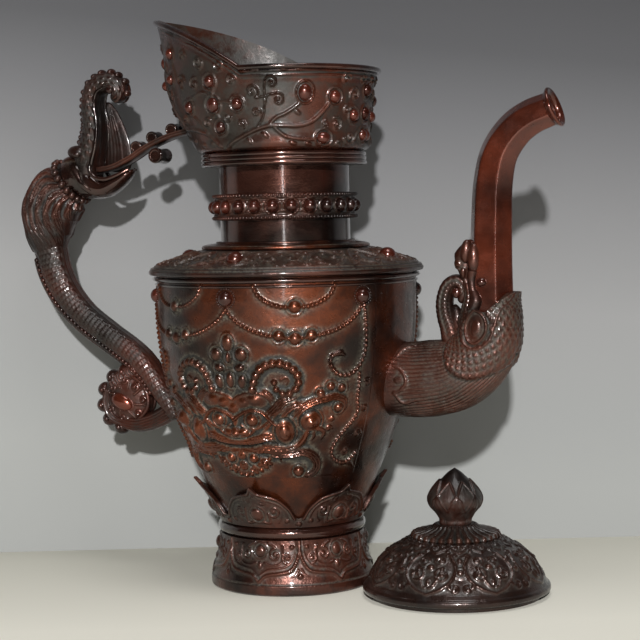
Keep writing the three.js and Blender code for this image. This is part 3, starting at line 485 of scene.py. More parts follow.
class Bar:
    # A bar along a line in the plane of spout and handle: thick in that plane, wide across it
    def __init__(self, path, thick, wide):
        count = 40 * (len(path) - 1) + 1
        share = np.linspace(0, 1, count)
        line = through(path, count)
        self.reach = np.concatenate([[0], np.cumsum(np.linalg.norm(np.diff(line, axis=0), axis=1))])
        self.length = self.reach[-1]
        ahead = np.gradient(line, axis=0)
        ahead /= np.linalg.norm(ahead, axis=1)[:, None]
        sizes = [np.interp(share, np.linspace(0, 1, np.size(size)), np.atleast_1d(size)) for size in (thick,
                wide)]
        self.table = np.stack([*line.T, -ahead[:, 1], ahead[:, 0], *sizes])

    def at(self, along):
        return [np.interp(along, self.reach, row) for row in self.table]

    def spot(self, points):
        # Angle round the bar, on its front side, and distance along it, for points [x, height]
        out = []
        for x, z in points:
            near = np.argmin(np.hypot(self.table[0] - x, self.table[1] - z))
            row = self.table[:, near]
            offset = ((x - row[0]) * row[2] + (z - row[1]) * row[3]) / row[4]
            out.append((math.degrees(math.acos(max(-0.98, min(0.98, offset)))), self.reach[near]))
        return out

    def relief(self, cell):
        return Relief(self.length + 1, max(self.table[4].mean(), self.table[5].mean()), cell)

    def surface(self, angle, along, grow, section=None):
        x, z, outX, outZ, thick, wide = self.at(along)
        factor = section(np.degrees(angle) % 360, along / self.length) if section else 1.0
        out, aside = np.cos(angle) * factor, np.sin(angle) * factor
        lift = grow / np.maximum(np.hypot(np.cos(angle) * wide, np.sin(angle) * thick), 1e-3)
        inPlane = out * thick + lift * np.cos(angle) * wide
        return x + outX * inPlane, aside * wide + lift * np.sin(angle) * thick, z + outZ * inPlane

    def point(self, degrees, along, grow, section=None):
        # One place on the surface, or grow millimetres off it
        place = self.surface(np.radians([float(degrees)]), np.array([along]), grow, section)
        return [part[0] for part in place]

    def piece(self, name, look, slot, columns, rows, relief=None, wall=0.0, grow=0.0, section=None,
              low=0.0, high=None, ends=(0, 0), **rest):
        # Solid with round ends, or a tube where it has a wall; high gives its end at each angle
        inner = max(6, rows // 4) if wall else 0
        last = rows + (inner + 2 if wall else 0)

        def along(i, j):
            angle = (i % columns) / columns * fullTurn
            top = high(np.degrees(angle)) if high else self.length
            share = j / rows
            if wall:
                share = np.where(j > rows, 1 - (j - rows - 1) / inner, share)
                share = np.where(j == last, 0, share)
            return angle, low + (top - low) * np.clip(share, 0, 1), top

        def place(i, j):
            angle, reach, top = along(i, j)
            rise = relief.at(relief.height, angle, reach) if relief else np.zeros(len(i))
            shrink = np.ones(len(i))
            for size, away in ((ends[0], reach - low), (ends[1], top - reach)):
                if size:
                    shrink *= np.sqrt(np.clip(1 - (1 - np.clip(away / size, 0, 1)) ** 2, 0, 1))
            within = (j > rows) & (j < last)
            push = np.where(within, -wall, grow + rise * shrink)
            x, y, z = self.surface(angle, reach, push, section)
            middle = self.at(reach)
            return middle[0] + (x - middle[0]) * shrink, y * shrink, middle[1] + (z - middle[1]) * shrink

        def marks(i, j):
            angle, reach, top = along(i, j)
            return {mark: np.where((j <= rows) | (j == last), relief.at(getattr(relief, mark), angle, reach),
                                   0.3)
                    for mark in ("hollow", "crest")}

        mesh = sheetMesh(name, columns, last, place, marks if relief else None)
        return finishPiece(mesh, name, look, slot, **rest)


def cordPiece(name, points, radius, look, slot, columns=10, rows=80, **rest):
    # A round wire through points in space, tapering by its list of radii
    line = evenly(through(points, 200), rows + 1)[0]
    sizes = np.interp(np.linspace(0, 1, rows + 1), np.linspace(0, 1, np.size(radius)), np.atleast_1d(radius))
    ahead = np.gradient(line, axis=0)
    ahead /= np.linalg.norm(ahead, axis=1)[:, None]
    aside = np.cross(ahead, [0, 1, 0.01])
    aside /= np.linalg.norm(aside, axis=1)[:, None]
    above = np.cross(aside, ahead)
    sizes[0] = sizes[-1] = 0

    def place(i, j):
        angle = (i % columns) / columns * fullTurn
        spot = line[j] + (aside[j] * np.cos(angle)[:, None] + above[j] * np.sin(angle)[:, None]) * sizes[j,
                None]
        return spot[:, 0], spot[:, 1], spot[:, 2]

    return finishPiece(sheetMesh(name, columns, rows, place), name, look, slot, sharp=80, **rest)


def around(radius, angle, height):
    turn = math.radians(angle)
    return Vector((radius * math.sin(turn), -radius * math.cos(turn), height))


def studs(name, spots, look="stud", slot="red_copper", segments=20, rings=10, depth=1, **rest):
    # Small domes and beads: each spot is its centre, the way it faces, and its half sizes
    # across, along and out. The half behind the centre is flattened by the depth
    bm = bmesh.new()
    for centre, facing, (acrossSize, alongSize, rise) in spots:
        facing = Vector(facing).normalized()
        aside = Vector((0, 0, 1)).cross(facing)
        aside = aside.normalized() if aside.length > 0.1 else Vector((0, 1, 0))
        turned = Matrix((aside, facing.cross(aside), facing)).transposed().to_4x4()
        size = Matrix.Diagonal((acrossSize * mm, alongSize * mm, rise * mm, 1))
        place = Matrix.Translation(Vector(centre) * mm) @ turned @ size
        ball = bmesh.ops.create_uvsphere(bm, u_segments=segments, v_segments=rings, radius=1)["verts"]
        for vert in ball:
            vert.co.z *= depth if vert.co.z < 0 else 1
        bmesh.ops.transform(bm, matrix=place, verts=ball)
    mesh = bpy.data.meshes.new(name)
    bm.to_mesh(mesh)
    bm.free()
    return finishPiece(mesh, name, look, slot, **rest)


def beadPiece(name, centres, radius, look="relief", slot="copper", subdivisions=2):
    bm = bmesh.new()
    for centre in centres:
        place = Matrix.Translation(Vector(centre) * mm)
        bmesh.ops.create_icosphere(bm, subdivisions=subdivisions, radius=radius * mm, matrix=place)
    mesh = bpy.data.meshes.new(name)
    bm.to_mesh(mesh)
    bm.free()
    return finishPiece(mesh, name, look, slot, sharp=80)


# Room: a pale table that darkens away from the camera, and a backdrop whose colour darkens upwards as painted
# shade of the light falling off. The key hangs behind the camera, with a broad soft light overhead and an upright
# strip that draws the long highlights.
stage = {
    "table": {"axis": (0.42, -0.91, 0), "span": (-0.1, 0.1),
              "tones": [(0, (186, 184, 173)), (1, (236, 233, 220))]},
    # Painted shade: the backdrop's tones darken upwards
    "back": {"axis": (0.1, 0.05, 1), "span": (0, 0.36),
             "tones": [(0, (148, 149, 147)), (0.13, (148, 149, 147)), (0.24, (142, 143, 142)),
                       (0.4, (136, 136, 136)),
                       (0.55, (119, 119, 120)), (0.68, (99, 99, 101)), (0.79, (78, 78, 80)),
                       (1, (56, 56, 58))]},
    "fold": 0.092,
    "room": 0.02,
    "lights": [
        {"place": (1.1, -2.66, 1.08), "aim": (0, 0, 0.14), "size": (0.08, 0.08), "watts": 112},
        {"place": (0.3, -0.32, 1.35), "aim": (0.05, -0.05, 0.05), "size": (0.5, 0.5), "watts": 5},
        {"place": (0.6, -1.48, 0.36), "aim": (0, 0, 0.36), "size": (0.03, 0.62), "watts": 1.8},
    ],
}


def addLight(number, facts):
    data = bpy.data.lights.new(f"light_{number}", "AREA")
    data.shape = "RECTANGLE"
    data.size, data.size_y = facts["size"]
    data.energy = facts["watts"]
    lamp = bpy.data.objects.new(f"light_{number}", data)
    place, aim = Vector(facts["place"]), Vector(facts["aim"])
    lamp.matrix_world = Matrix.Translation(place) @ (place - aim).to_track_quat("Z", "Y").to_matrix().to_4x4()
    bpy.context.scene.collection.objects.link(lamp)


def stagePiece(name, place, facts):
    bm = bmesh.new()
    bmesh.ops.create_grid(bm, x_segments=2, y_segments=2, size=4, matrix=place)
    mesh = bpy.data.meshes.new(name)
    bm.to_mesh(mesh)
    bm.free()
    material = bpy.data.materials.new(name)
    look = Look(material)
    spot = look.add("ShaderNodeTexCoord", None, None, "Object")
    along = look.add("ShaderNodeVectorMath", {"operation": "DOT_PRODUCT"}, {0: spot, 1: facts["axis"]}, 1)
    low, high = facts["span"]
    stops = [(up, tone(*shade)) for up, shade in facts["tones"]]
    colour = look.add("ShaderNodeValToRGB", {"stops": stops}, {"Fac": (along - low) * (1 / (high - low))})
    shader = look.add("ShaderNodeBsdfPrincipled", None, {
        "Base Color": colour, "Roughness": 0.9, "Specular IOR Level": 0.1,
    })
    # From behind it is see-through, so that it never hides the vessel
    clear = look.add("ShaderNodeBsdfTransparent")
    behind = look.add("ShaderNodeNewGeometry", None, None, "Backfacing")
    both = look.add("ShaderNodeMixShader", None, {0: behind, 1: shader, 2: clear})
    look.add("ShaderNodeOutputMaterial", None, {"Surface": both})
    mesh.materials.append(material)
    sheet = bpy.data.objects.new(name, mesh)
    bpy.context.scene.collection.objects.link(sheet)


world = bpy.data.worlds.new("room")
bpy.context.scene.world = world
room = Look(world)
shade = room.add("ShaderNodeBackground", None, {"Color": (1, 1, 1, 1), "Strength": stage["room"]})
room.add("ShaderNodeOutputWorld", None, {"Surface": shade})
for number, facts in enumerate(stage["lights"]):
    addLight(number + 1, facts)
stagePiece("table", Matrix.Identity(4), stage["table"])
facing = math.radians(camera["azimuth"])
back = Vector((-math.sin(facing), math.cos(facing), 0)) * stage["fold"]
upright = Matrix.Rotation(facing, 4, "Z") @ Matrix.Rotation(math.radians(90), 4, "X")
stagePiece("backdrop", Matrix.Translation(back + Vector((0, 0, 3.9))) @ upright, stage["back"])
bpy.context.scene.view_settings.view_transform = "Standard"
print("room made")


# Foot: six hanging lappets over a plain lip
foot = {
    "wall": [(39.8, 0), (41, 1), (41.05, 3), (41, 5), (40.3, 5.8), (39.9, 6.6), (39.2, 9.5), (38.2, 13),
             (37.3, 17), (36.6, 21), (36, 26.4)],
    "inside": [(30, 26.4), (30, 24.8), (34.2, 24.8), (35.6, 19), (36.6, 13), (38.2, 6), (38.2, 0)],
    "border": [(30, 28), (29.5, 21), (27, 15.6), (22.5, 12), (15, 10.8), (8, 10.2), (4, 9.2), (0, 6.4)],
    "boss": (0, 21.4, 3.1),
}
footRelief = Relief(28, 40, 0.3)
for petal in range(0, 360, 60):
    def onPetal(points, side=1):
        return [(petal + side * angle, up) for angle, up in points]
    for side in (-1, 1):
        footRelief.stroke(onPetal(foot["border"], side), 0.8, 1.0)
        footRelief.stroke(onPetal([(27.4, 28), (27, 21.5), (24.6, 17), (20, 14.2), (13, 13.2), (6, 12.4),
                                   (0, 9.6)], side), 0.4, 0.35)
        footRelief.spiral(petal + side * 11.5, 19.6, 3.2, 90, side * 1.4, 0.55, 0.7,
                          tail=onPetal([(5.5, 25.4), (8.5, 24.4)], side))
        footRelief.spiral(petal + side * 20.4, 18.2, 2.6, -90, -side * 1.3, 0.5, 0.6,
                          tail=onPetal([(17, 24), (17.4, 20.5), (18.2, 16.6)], side))
        footRelief.stroke(onPetal([(3, 15.8), (8, 14.6), (14, 15), (17.5, 17)], side), 0.6, 0.6, (1, 0.5))
        footRelief.dome(petal + side * 24.4, 23.4, 1.2, high=0.9)
        footRelief.dome(petal + side * 30, 9.6, 1.3, high=0.9)
        footRelief.stroke(onPetal([(24, 9.2), (27, 10.4), (29, 13)], side), 0.5, 0.5, (0.4, 1))
    footRelief.boss(petal, foot["boss"][1], foot["boss"][2], high=2)
    footRelief.dome(petal, 14.6, 1.5, 1.9, 1.0)
footRelief.stroke([(angle, 5.6) for angle in range(0, 361, 5)], 0.35, 0.5, layer="cuts")
footRelief.close()
turnedPiece("foot", foot["wall"], foot["inside"], "relief", "copper", 500, 100, footRelief, 0,
            stands=["foot_ring"])
turnedPiece("foot_floor", [(0, 0), (37.6, 0), (37.6, 1.5)], [(0, 1.5)], "lid", "dark_copper",
            stands=["base_plate"])

# Waist: a plain round ring
waist = {"radius": 37, "low": 26.7, "high": 32.5, "inner": 30}
turns = np.linspace(-90, 90, 13)
half = (waist["high"] - waist["low"]) / 2
waistWall = [(waist["radius"] - half + half * math.cos(math.radians(t)),
              waist["low"] + half + half * math.sin(math.radians(t))) for t in turns]
turnedPiece("waist", [(waist["inner"], waist["low"]), *waistWall, (waist["inner"], waist["high"])], [],
            "polished", "red_copper", 160, stands=["waist_ring"])
print("foot and waist made")

# Bowl: a plain raised wall
bowl = {
    "base": 32.8,
    "top": 155.2,
    "sheet": 1.8,
    "wall": [(34.5, 0), (38.7, 8.5), (45, 23.7), (51.5, 40), (57, 56), (61.2, 75), (63.8, 94),
             (64.5, 111.2)],
}
bowlCurve = through(bowl["wall"], 60) + [0, bowl["base"]]
bowlWall = np.vstack([bowlCurve, [(bowl["wall"][-1][0], bowl["top"])]])
bowlInside = [(radius - bowl["sheet"], height) for radius, height in bowlWall[::-1][:-1]]
bowlInside += [(bowl["wall"][0][0] - bowl["sheet"], bowl["base"] + bowl["sheet"]),
               (0, bowl["base"] + bowl["sheet"])]


def bowlRadius(height):
    return np.interp(height, bowlWall[:, 1], bowlWall[:, 0])


turnedPiece("bowl_wall", [(0, bowl["base"]), *bowlWall], bowlInside, "field", "copper", 240,
            stands=["bowl"])

# Face and garlands: raised from the bowl's front. The rear, which the photograph doesn't show, has
# the same.
face = {"low": 58, "high": 154, "reach": 68, "stand": 0.14, "fade": 1.6, "turn": -1.5}
work = Relief(face["high"] - face["low"] + 1, lambda up: bowlRadius(up + face["low"]), 0.31)


def onFace(points):
    # Places of [angle, height] as measured; the finished sheet is turned a little afterwards
    return [(angle + 2.5, height - face["low"]) for angle, height in points]


def faceStroke(points, width=0.7, high=0.8, taper=(1, 1), layer="detail"):
    work.stroke(onFace(points), width, high, taper, layer)


def faceDome(angle, height, wide, tall=None, high=None, turn=0, layer="detail"):
    work.dome(angle + 2.5, height - face["low"], wide, tall, high or wide * 0.8, turn, layer)


def faceBoss(angle, height, wide, tall=None, high=2, turn=0):
    tall = tall or wide
    faceDome(angle, height, wide, tall, high, turn)
    work.ring(angle + 2.5, height - face["low"], wide + 1.1, tall + 1.1, 0.45, 0.45)


def faceSpiral(angle, height, size, start, turns, width=0.55, high=0.9, tail=()):
    work.spiral(angle + 2.5, height - face["low"], size, start, turns, width, high, tail=onFace(tail))


def faceLock(points, count=3, apart=1.25, high=1.5, swell=1.0, taper=(0.7, 1, 1, 0.5)):
    # A grooved band: a soft ridge with strands along it
    faceStroke(points, count * apart * 0.6, swell, taper, "swell")
    work.strands(onFace(points), count, apart, 0.52, high * 0.55, taper)


# The face swells from the wall in soft lumps
for angle, height, wide, tall, high in [
    (-2.5, 85, 17, 12, 1.0), (16, 84, 12, 11, 1.0), (32, 86, 12, 11, 0.8), (-2.5, 67, 17, 7, 0.8),
    (8, 98, 8, 5.4, 2.6), (3, 96.4, 6, 4.4, 2.2), (-2.5, 93.6, 5, 4.4, 2.0), (-2.5, 87, 3, 7, 2.4),
    (-2.5, 82.4, 9.4, 3.4, 3.0), (12, 81.4, 8, 4, 1.8), (6.2, 88.2, 6, 5, 0.9),
]:
    for offset in range(6):
        size = 1 - offset / 9
        faceDome(angle, height, wide * size, tall * size, high * (0.4 + offset / 10), layer="swell")

# Eye, brow, nose and the two knobs of the cheek
faceDome(6.2, 88.2, 3.1, high=2.6)
work.ring(8.7, 88.2 - face["low"], 3.9, width=0.5, high=1.3)
work.ring(8.7, 88.2 - face["low"], 1.2, width=0.4, high=2.7)
faceStroke([(-2.5, 88.6), (0.3, 90.6), (3.9, 92.5), (7.8, 93), (11.5, 91.6), (14, 89.1), (16.5, 86.6),
            (18.6, 86)],
           0.8, 1.9)
faceStroke([(0.4, 85.8), (4, 84.1), (7.4, 83.8), (10.9, 85.2), (14, 87.6)], 0.6, 1.2)
for i in range(4):
    lift = i * 1.2
    faceStroke([(10.6, 84.2 - lift * 0.5), (13.6, 85.6 - lift * 0.3), (16.4, 88.8), (18 + i * 0.5, 92.4)],
               0.45, 0.9,
               (0.4, 1, 1, 0.4))
faceStroke([(-2.5, 80.4), (1, 80.5), (4.6, 81.6), (6.6, 83.6), (5, 85.2)], 0.75, 1.5)
faceDome(1.8, 82.6, 2.6, 1.9, 2.0)
faceDome(-2.5, 82.8, 2.4, 2.2, 2.2)
faceStroke([(-2.5, 97.6), (1, 99.8), (6, 101.4), (11, 101), (14.6, 98.6), (15.6, 95.4)], 0.6, 0.7)
for size, high in ((1, 2.4), (0.7, 3.6), (0.4, 4.0)):
    faceDome(21.6, 82.4, 4.6 * size, 6.6 * size, high, 8)
    faceDome(33.8, 87.4, 5.1 * size, 5.2 * size, high)
work.ring(24.1, 82.4 - face["low"], 5.5, 7.6, 0.5, 0.7)
work.ring(36.3, 87.4 - face["low"], 6, 6.1, 0.5, 0.7)
faceStroke([(36.6, 84), (39.4, 82.8), (40.9, 81), (39.6, 77.6)], 1.5, 1.6, (1, 0.9, 0.6, 0.15))
faceStroke([(32.4, 83.6), (31.6, 80), (29.4, 77), (26, 73.6)], 1.3, 1.4, (1, 0.9, 0.8, 0.3))
faceStroke([(35, 83.2), (35.8, 80.2), (34.4, 77)], 1.0, 1.2, (1, 0.8, 0.15))

# Lips and the hair that streams from them, with the dark slit of the mouth between
faceLock([(-2.5, 78), (3, 77.9), (8, 78.8), (12, 79.8), (15.6, 79.4)], 4, 1.05, 1.8, 1.5, (1, 1, 1, 0.6))
faceLock([(-2.5, 73.2), (5, 73.4), (12, 74.2), (18, 73.8), (24.9, 74.6), (29.6, 77.4), (31.4, 81)], 4, 1.1,
         1.6, 1.3)
faceStroke([(-2.5, 75.6), (4, 75.7), (10, 76.6), (16, 76.4), (22, 76.2)], 0.7, 0.9, (1, 1, 0.4), "cuts")
faceLock([(13.5, 89.7), (17.4, 92.9), (20.1, 96.2), (22.2, 97.8), (25.3, 98.6), (29.4, 100.6)], 4, 1.25, 1.6,
         1.3,
         (0.6, 1, 1, 1, 0.7, 0.1))
faceLock([(19, 89), (21.4, 91.4), (24.2, 93.9), (26.8, 95.1), (30.4, 95.9), (33.5, 97.6)], 3, 1.25, 1.4, 1.1,
         (0.6, 1, 1, 1, 0.6, 0.1))
faceLock([(10, 102.6), (13.6, 100.8), (16.4, 97.6), (17.6, 94)], 3, 1.2, 1.2, 0.8, (0.3, 1, 1, 0.4))
faceLock([(25.4, 88.6), (29.4, 93.2), (32.5, 95.3), (36.7, 97), (40.9, 97.8), (45.3, 98.4), (49.6, 96.4),
          (50.4, 92.8)],
         3, 1.3, 1.6, 1.2, (0.5, 1, 1, 1, 1, 0.9, 0.8, 0.5))
faceBoss(47, 93.2, 2.4, high=2.6)
for angle, height in [(38.2, 100.4), (42.8, 103.4), (48.2, 102.4)]:
    faceBoss(angle, height, 2.1, high=2)
faceLock([(9.5, 72.3), (17.8, 71.3), (24.9, 71.4), (30.8, 72), (35.8, 69.9), (38.5, 65.7), (37.2, 61.8),
          (33.3, 60)],
         3, 1.35, 1.6, 1.2, (0.4, 1, 1, 1, 1, 1, 0.9, 0.6))
faceBoss(28.4, 62.4, 2.6, high=2.6)
faceStroke([(19, 70), (18.6, 68), (20.4, 66.6)], 0.9, 1.0, (1, 0.8, 0.2))

# Beard: small curls in a pointed patch
work.fill(onFace([(-4, 71.6), (4, 71.2), (12.6, 69.6), (13.4, 66.6), (8.4, 63.6), (3, 61.4), (-2.5, 59.8),
                  (-4, 60)]),
          1.0)
faceBoss(4.2, 69.4, 2.2, high=2.2)
for angle, height, size, start in [(-2.5, 65.4, 2.2, 90), (9.8, 67, 2.2, 0), (3.4, 64.4, 1.9, 180),
                                   (-2.5, 70.4, 1.7, 90)]:
    faceSpiral(angle, height, size, start, 1.4, 0.5, 1.0)
for angle, height in [(13, 69), (13, 66.4), (10.6, 64.6), (7.4, 63), (4.4, 61.8), (1, 60.8), (-2.5, 60.4),
                      (7, 66)]:
    faceDome(angle, height, 1.1, high=1.2)

# Horns: a string of big beads that winds up and out from the brow
horn = [(7.6, 103), (8.2, 105.6), (9.1, 108.3), (10.6, 111.2), (13.5, 113.8), (17.4, 115.1), (21.2, 114.7),
        (24.6, 113),
        (27.3, 110.2), (28.2, 106.9), (27.2, 103.4), (24.4, 101.2), (20.9, 101), (18.2, 102.8), (17.5, 106)]
faceStroke(horn, 1.6, 0.5, (1.1, 1.1, 1, 0.9, 0.8, 0.6), "swell")
work.beads(onFace(horn), 2.2, 1.5, 2.4, (1.0, 1.05, 1, 0.95, 0.85, 0.65))
faceStroke([(20.2, 107), (22.6, 108.2), (24, 106.4), (22.8, 104.4)], 0.4, 0.5)

# Jewels over the brow, each in a thin setting
for angle, height, wide, tall, turn in [
    (-2.5, 124.6, 2.9, 3.9, 0), (3.5, 119.3, 3.2, 3.3, 0), (-2.5, 117.9, 1.3, 2.6, 0),
    (2.5, 113.1, 2.7, 1.9, 14),
    (-2.5, 107.2, 2.2, 3.8, 0), (3.2, 106.6, 2.3, 3.6, -8),
]:
    faceBoss(angle, height, wide, tall, 2.1, turn)

# Garlands of beads from pearl to pearl, and a beaded rope that hangs and curls beside the face
garland = {
    "upper": [(9.9, 151), (11.9, 146.8), (15.8, 143.6), (20.6, 141.7), (27, 141.2), (33.2, 141.7),
              (38.2, 143.6),
              (42.1, 146.8), (44.1, 151)],
    "lower": [(-2.5, 140.3), (1, 135.6), (6.1, 131.9), (12, 129.2), (17.9, 127.8), (27, 126.6), (36.1, 127.8),
              (42, 129.2), (47.9, 131.9), (53, 135.6), (56.5, 140.3)],
    "rope": [(58, 141), (58.6, 134), (58.9, 127.4), (59, 121.9), (58.2, 116.6), (55.8, 111.9), (51.7, 108.6),
             (46.7, 108.7), (43.2, 111.9), (42.1, 115.7), (43.5, 118.4), (46.9, 119.3)],
    "tail": [(56.6, 108.6), (57.1, 103.6), (56.9, 97), (58, 90.9), (56.7, 87.1), (53.5, 83.4), (50, 79.2),
             (47.2, 74.9),
             (46.2, 71), (48.5, 67.4), (54, 65.3), (58.5, 66.6), (61.7, 69.5)],
}
for name, size, high in (("upper", 1.08, 1.35), ("lower", 1.08, 1.35), ("rope", 1.2, 1.5),
                         ("tail", 1.05, 1.3)):
    work.beads(onFace(garland[name]), size, 1.95, high)
    faceStroke(garland[name], 0.45, 0.35, layer="swell")
for angle, height, wide in [(27, 141.4, 2.9), (20.2, 128, 2.7), (27, 126.5, 2.9), (33.8, 128, 2.7)]:
    faceBoss(angle, height, wide, high=2.4)
faceStroke([(43.5, 118.4), (46.5, 119), (49, 117.6)], 1.5, 1.7, (0.8, 1, 0.3))
faceStroke([(54, 65.3), (60, 64.6), (63.4, 61.8)], 1.2, 1.1, (1, 0.8, 0.1))
for angle, height, size, start, turns in [
    (61.6, 104, 2.0, 160, -1.3), (61.8, 92, 2.0, 150, 1.3), (60.4, 79, 2.0, 0, 1.3),
    (54.6, 71, 1.8, 200, 1.3),
    (43.2, 83, 1.6, 0, 1.2), (44.4, 88, 1.3, 200, 1.2),
]:
    faceSpiral(angle, height, size, start, turns, 0.45, 0.7)
work.close(mirror=0, halo=2.6)


def faceLift(rise, angle, height):
    # The sheet stands just proud of the bowl, and sinks into it at its edges
    off = np.minimum(face["reach"] - np.abs(angle), 90) * math.radians(62)
    off = np.minimum(off, np.minimum(height - face["low"], face["high"] - height))
    return rise + face["stand"] - 0.5 * np.clip(1 - off / face["fade"], 0, 1) ** 2


rows = np.linspace(face["low"], face["high"], 246)
faceWall = np.stack([bowlRadius(rows), rows], 1)
faceInside = [(bowlRadius(height) - 0.8, height) for height in rows[::-24]]
for name, turn, stand in [("face_front", 0, "mask_front"), ("face_rear", 180, "mask_rear")]:
    piece = turnedPiece(name, faceWall, faceInside, "field", "dark_copper", 372, None, work, face["low"],
                        (-face["reach"], face["reach"]), faceLift, stands=[stand])
    piece.data.transform(Matrix.Rotation(math.radians(turn + face["turn"]), 4, "Z"))
print("bowl and faces made")

# Pearls under the shoulder, each in a ring, and the wires round the bowl's top
pearls = {"height": 145.4, "halves": (3.7, 3.7, 3.4), "ring": 4.7, "beads": 22, "beadSize": 0.62}
spots = []
for angle in range(0, 360, 60):
    radius = bowlRadius(pearls["height"])
    angle += face["turn"]
    spots.append((around(radius, angle, pearls["height"]), around(1, angle, 0), pearls["halves"]))
studs("pearls", spots, stands=[f"pearl_boss_{i}" for i in range(1, 7)])


def wirePiece(name, low, high, inner, reach, look="polished", slot="copper", columns=200, **rest):
    turns = np.linspace(-90, 90, 9)
    half = (high - low) / 2
    wall = [(inner + reach * math.cos(math.radians(t)), low + half + half * math.sin(math.radians(t)))
            for t in turns]
    return turnedPiece(name, wall, [(inner - 0.2, high), (inner - 0.2, low)], look, slot, columns, **rest)


wirePiece("lower_wire", 150.2, 151.7, 64.6, 1.2, stands=["bowl_wire_lower"])
wirePiece("upper_wire", 152.3, 154.9, 64.6, 2.2, stands=["bowl_wire_upper"])
for number in range(6):
    angle = number * 60 + face["turn"]
    centre = around(bowlRadius(pearls["height"]) + 0.1, angle, pearls["height"])
    side = Vector((math.cos(math.radians(angle)), math.sin(math.radians(angle)), 0))
    spots = []
    for turn in (fullTurn * i / pearls["beads"] for i in range(pearls["beads"])):
        spots.append(centre + side * pearls["ring"] * math.cos(turn)
                     + Vector((0, 0, pearls["ring"] * math.sin(turn))))
    beadPiece(f"pearl_ring_{number + 1}", spots, pearls["beadSize"], subdivisions=1)

# Calyx: a crown of petals round the bottom of the bowl, their tips off the wall
calyx = {
    "base": 32.8,
    "sheet": 1.3,
    "edge": [(0, 4.6), (3, 5.4), (7, 10.4), (14, 15.2), (22, 17.2), (27, 18.2), (30, 21.6)],
    "boss": (0, 6.9, 3.4),
    "flare": 2.3,
}
calyxRelief = Relief(23, lambda up: bowlRadius(up + calyx["base"]) + 1.6, 0.3)
for petal in range(0, 360, 60):
    for side in (-1, 1):
        def onPetal(points):
            # The petal's middle stands between two notches of the crown's edge
            return [(petal + side * (30 - angle), up) for angle, up in points]
        calyxRelief.stroke(onPetal([(30, 20.6), (27, 17.4), (22, 16.4), (14, 14.4), (7, 9.6), (3.4, 4.8)]),
                           0.85, 1.0)
        calyxRelief.stroke(onPetal([(30, 17.4), (26.6, 15), (20, 13.8), (13, 11.6), (8.6, 7.4), (7.4, 3.4)]),
                           0.4, 0.45)
        calyxRelief.spiral(petal + side * 12.6, 8.6, 3.1, 180 * (side > 0) + 20, side * 1.4, 0.6, 0.8,
                           tail=onPetal([(27, 3), (21, 2.8)]))
        calyxRelief.spiral(petal + side * 5.4, 14, 2.0, 200, side * 1.3, 0.45, 0.6)
        calyxRelief.stroke(onPetal([(14.6, 3), (12.6, 5.6), (12.4, 8.6)]), 0.6, 0.6, (1, 0.4))
        calyxRelief.dome(petal + side * 21.4, 3.6, 1.2, high=0.9)
    calyxRelief.boss(petal, calyx["boss"][1], calyx["boss"][2], high=2.2)
    calyxRelief.dome(petal, 17.6, 1.1, 1.6, 0.9)
    calyxRelief.dome(petal + 30, 1.9, 1.5, 1.4, 1.2)
calyxRelief.close()


def calyxPiece():
    columns, outer, inner = 540, 58, 6

    def top(angle):
        away = np.abs((np.degrees(angle) + 30) % 60 - 30)
        edge = np.array(calyx["edge"])
        return np.interp(30 - away, edge[:, 0], edge[:, 1])

    def place(i, j):
        angle = (i % columns) / columns * fullTurn
        last = outer + inner + 2
        back = (j > outer) & (j < last)
        share = np.where(back, 1 - (j - outer - 1) / inner, np.where(j == last, 0, j / outer))
        up = top(angle) * share
        flare = calyx["flare"] * np.clip(up / 20 - 0.5, 0, 1) ** 2 * 4
        rise = calyxRelief.at(calyxRelief.height, angle, up)
        lip = 0.35 * np.clip(1 - (top(angle) - up) / 1.2, 0, 1) ** 2
        reach = np.where(back, 0.15, 0.3 + calyx["sheet"] - lip + rise)
        radius = bowlRadius(up + calyx["base"]) + flare + reach
        return radius * np.sin(angle), -radius * np.cos(angle), up + calyx["base"]

    def marks(i, j):
        angle = (i % columns) / columns * fullTurn
        up = top(angle) * np.minimum(j / outer, 1)
        return {mark: np.where(j <= outer, calyxRelief.at(getattr(calyxRelief, mark), angle, up), 0.0)
                for mark in ("hollow", "crest")}

    mesh = sheetMesh("calyx_crown", columns, outer + inner + 2, place, marks)
    finishPiece(mesh, "calyx_crown", "relief", "copper", stands=["calyx"])


calyxPiece()
print("calyx made")


# Shoulder plate: a shallow cone with a round lip, chased with petals and scrolls
shoulder = {
    "wall": rounded([(62.5, 155.5), (68.5, 155.5), (68.5, 158.6), (64.8, 160.2), (43, 167.2), (32.6, 167.2)],
                    1.3, 5),
    "inside": [(32.6, 165.6), (43, 165.6), (62.5, 158.8)],
    "bosses": 55,
}
plateRelief = Relief(47, lambda up: np.clip(73 - up, 33, 69), 0.38)


def onPlate(radius):
    # Distance along the plate's outline at a radius of its top
    return 9.6 + (66.2 - radius) * 1.05


for petal in range(16):
    middle = petal * 22.5
    for side in (-1, 1):
        edge = [(0, 44), (3.4, 45.4), (7, 49), (9.6, 54), (10.6, 59), (9.6, 62.4)]
        plateRelief.stroke([(middle + side * angle, onPlate(radius)) for angle, radius in edge], 0.55, 1.1)
        plateRelief.spiral(middle + side * 5.0, onPlate(59.4), 2.3, 90 - side * 60, side * 1.4, 0.5, 1.0,
                           tail=[(middle + side * 1.4, onPlate(63.4))])
        plateRelief.spiral(middle + side * 4.4, onPlate(53.2), 1.7, -90, -side * 1.3, 0.45, 0.9)
        plateRelief.spiral(middle + 11.25 + side * 2.6, onPlate(46.4), 1.2, 90, side * 1.2, 0.4, 0.8)
        plateRelief.dome(middle + side * 8.2, onPlate(55.6), 0.8, high=0.9)
    plateRelief.dome(middle, onPlate(48.6), 0.9, 1.7, 1.1)
    plateRelief.dome(middle + 11.25, onPlate(62.6), 1.1, high=1.1)
    plateRelief.dome(middle + 11.25, onPlate(51), 1.1, 1.8, 1.1)
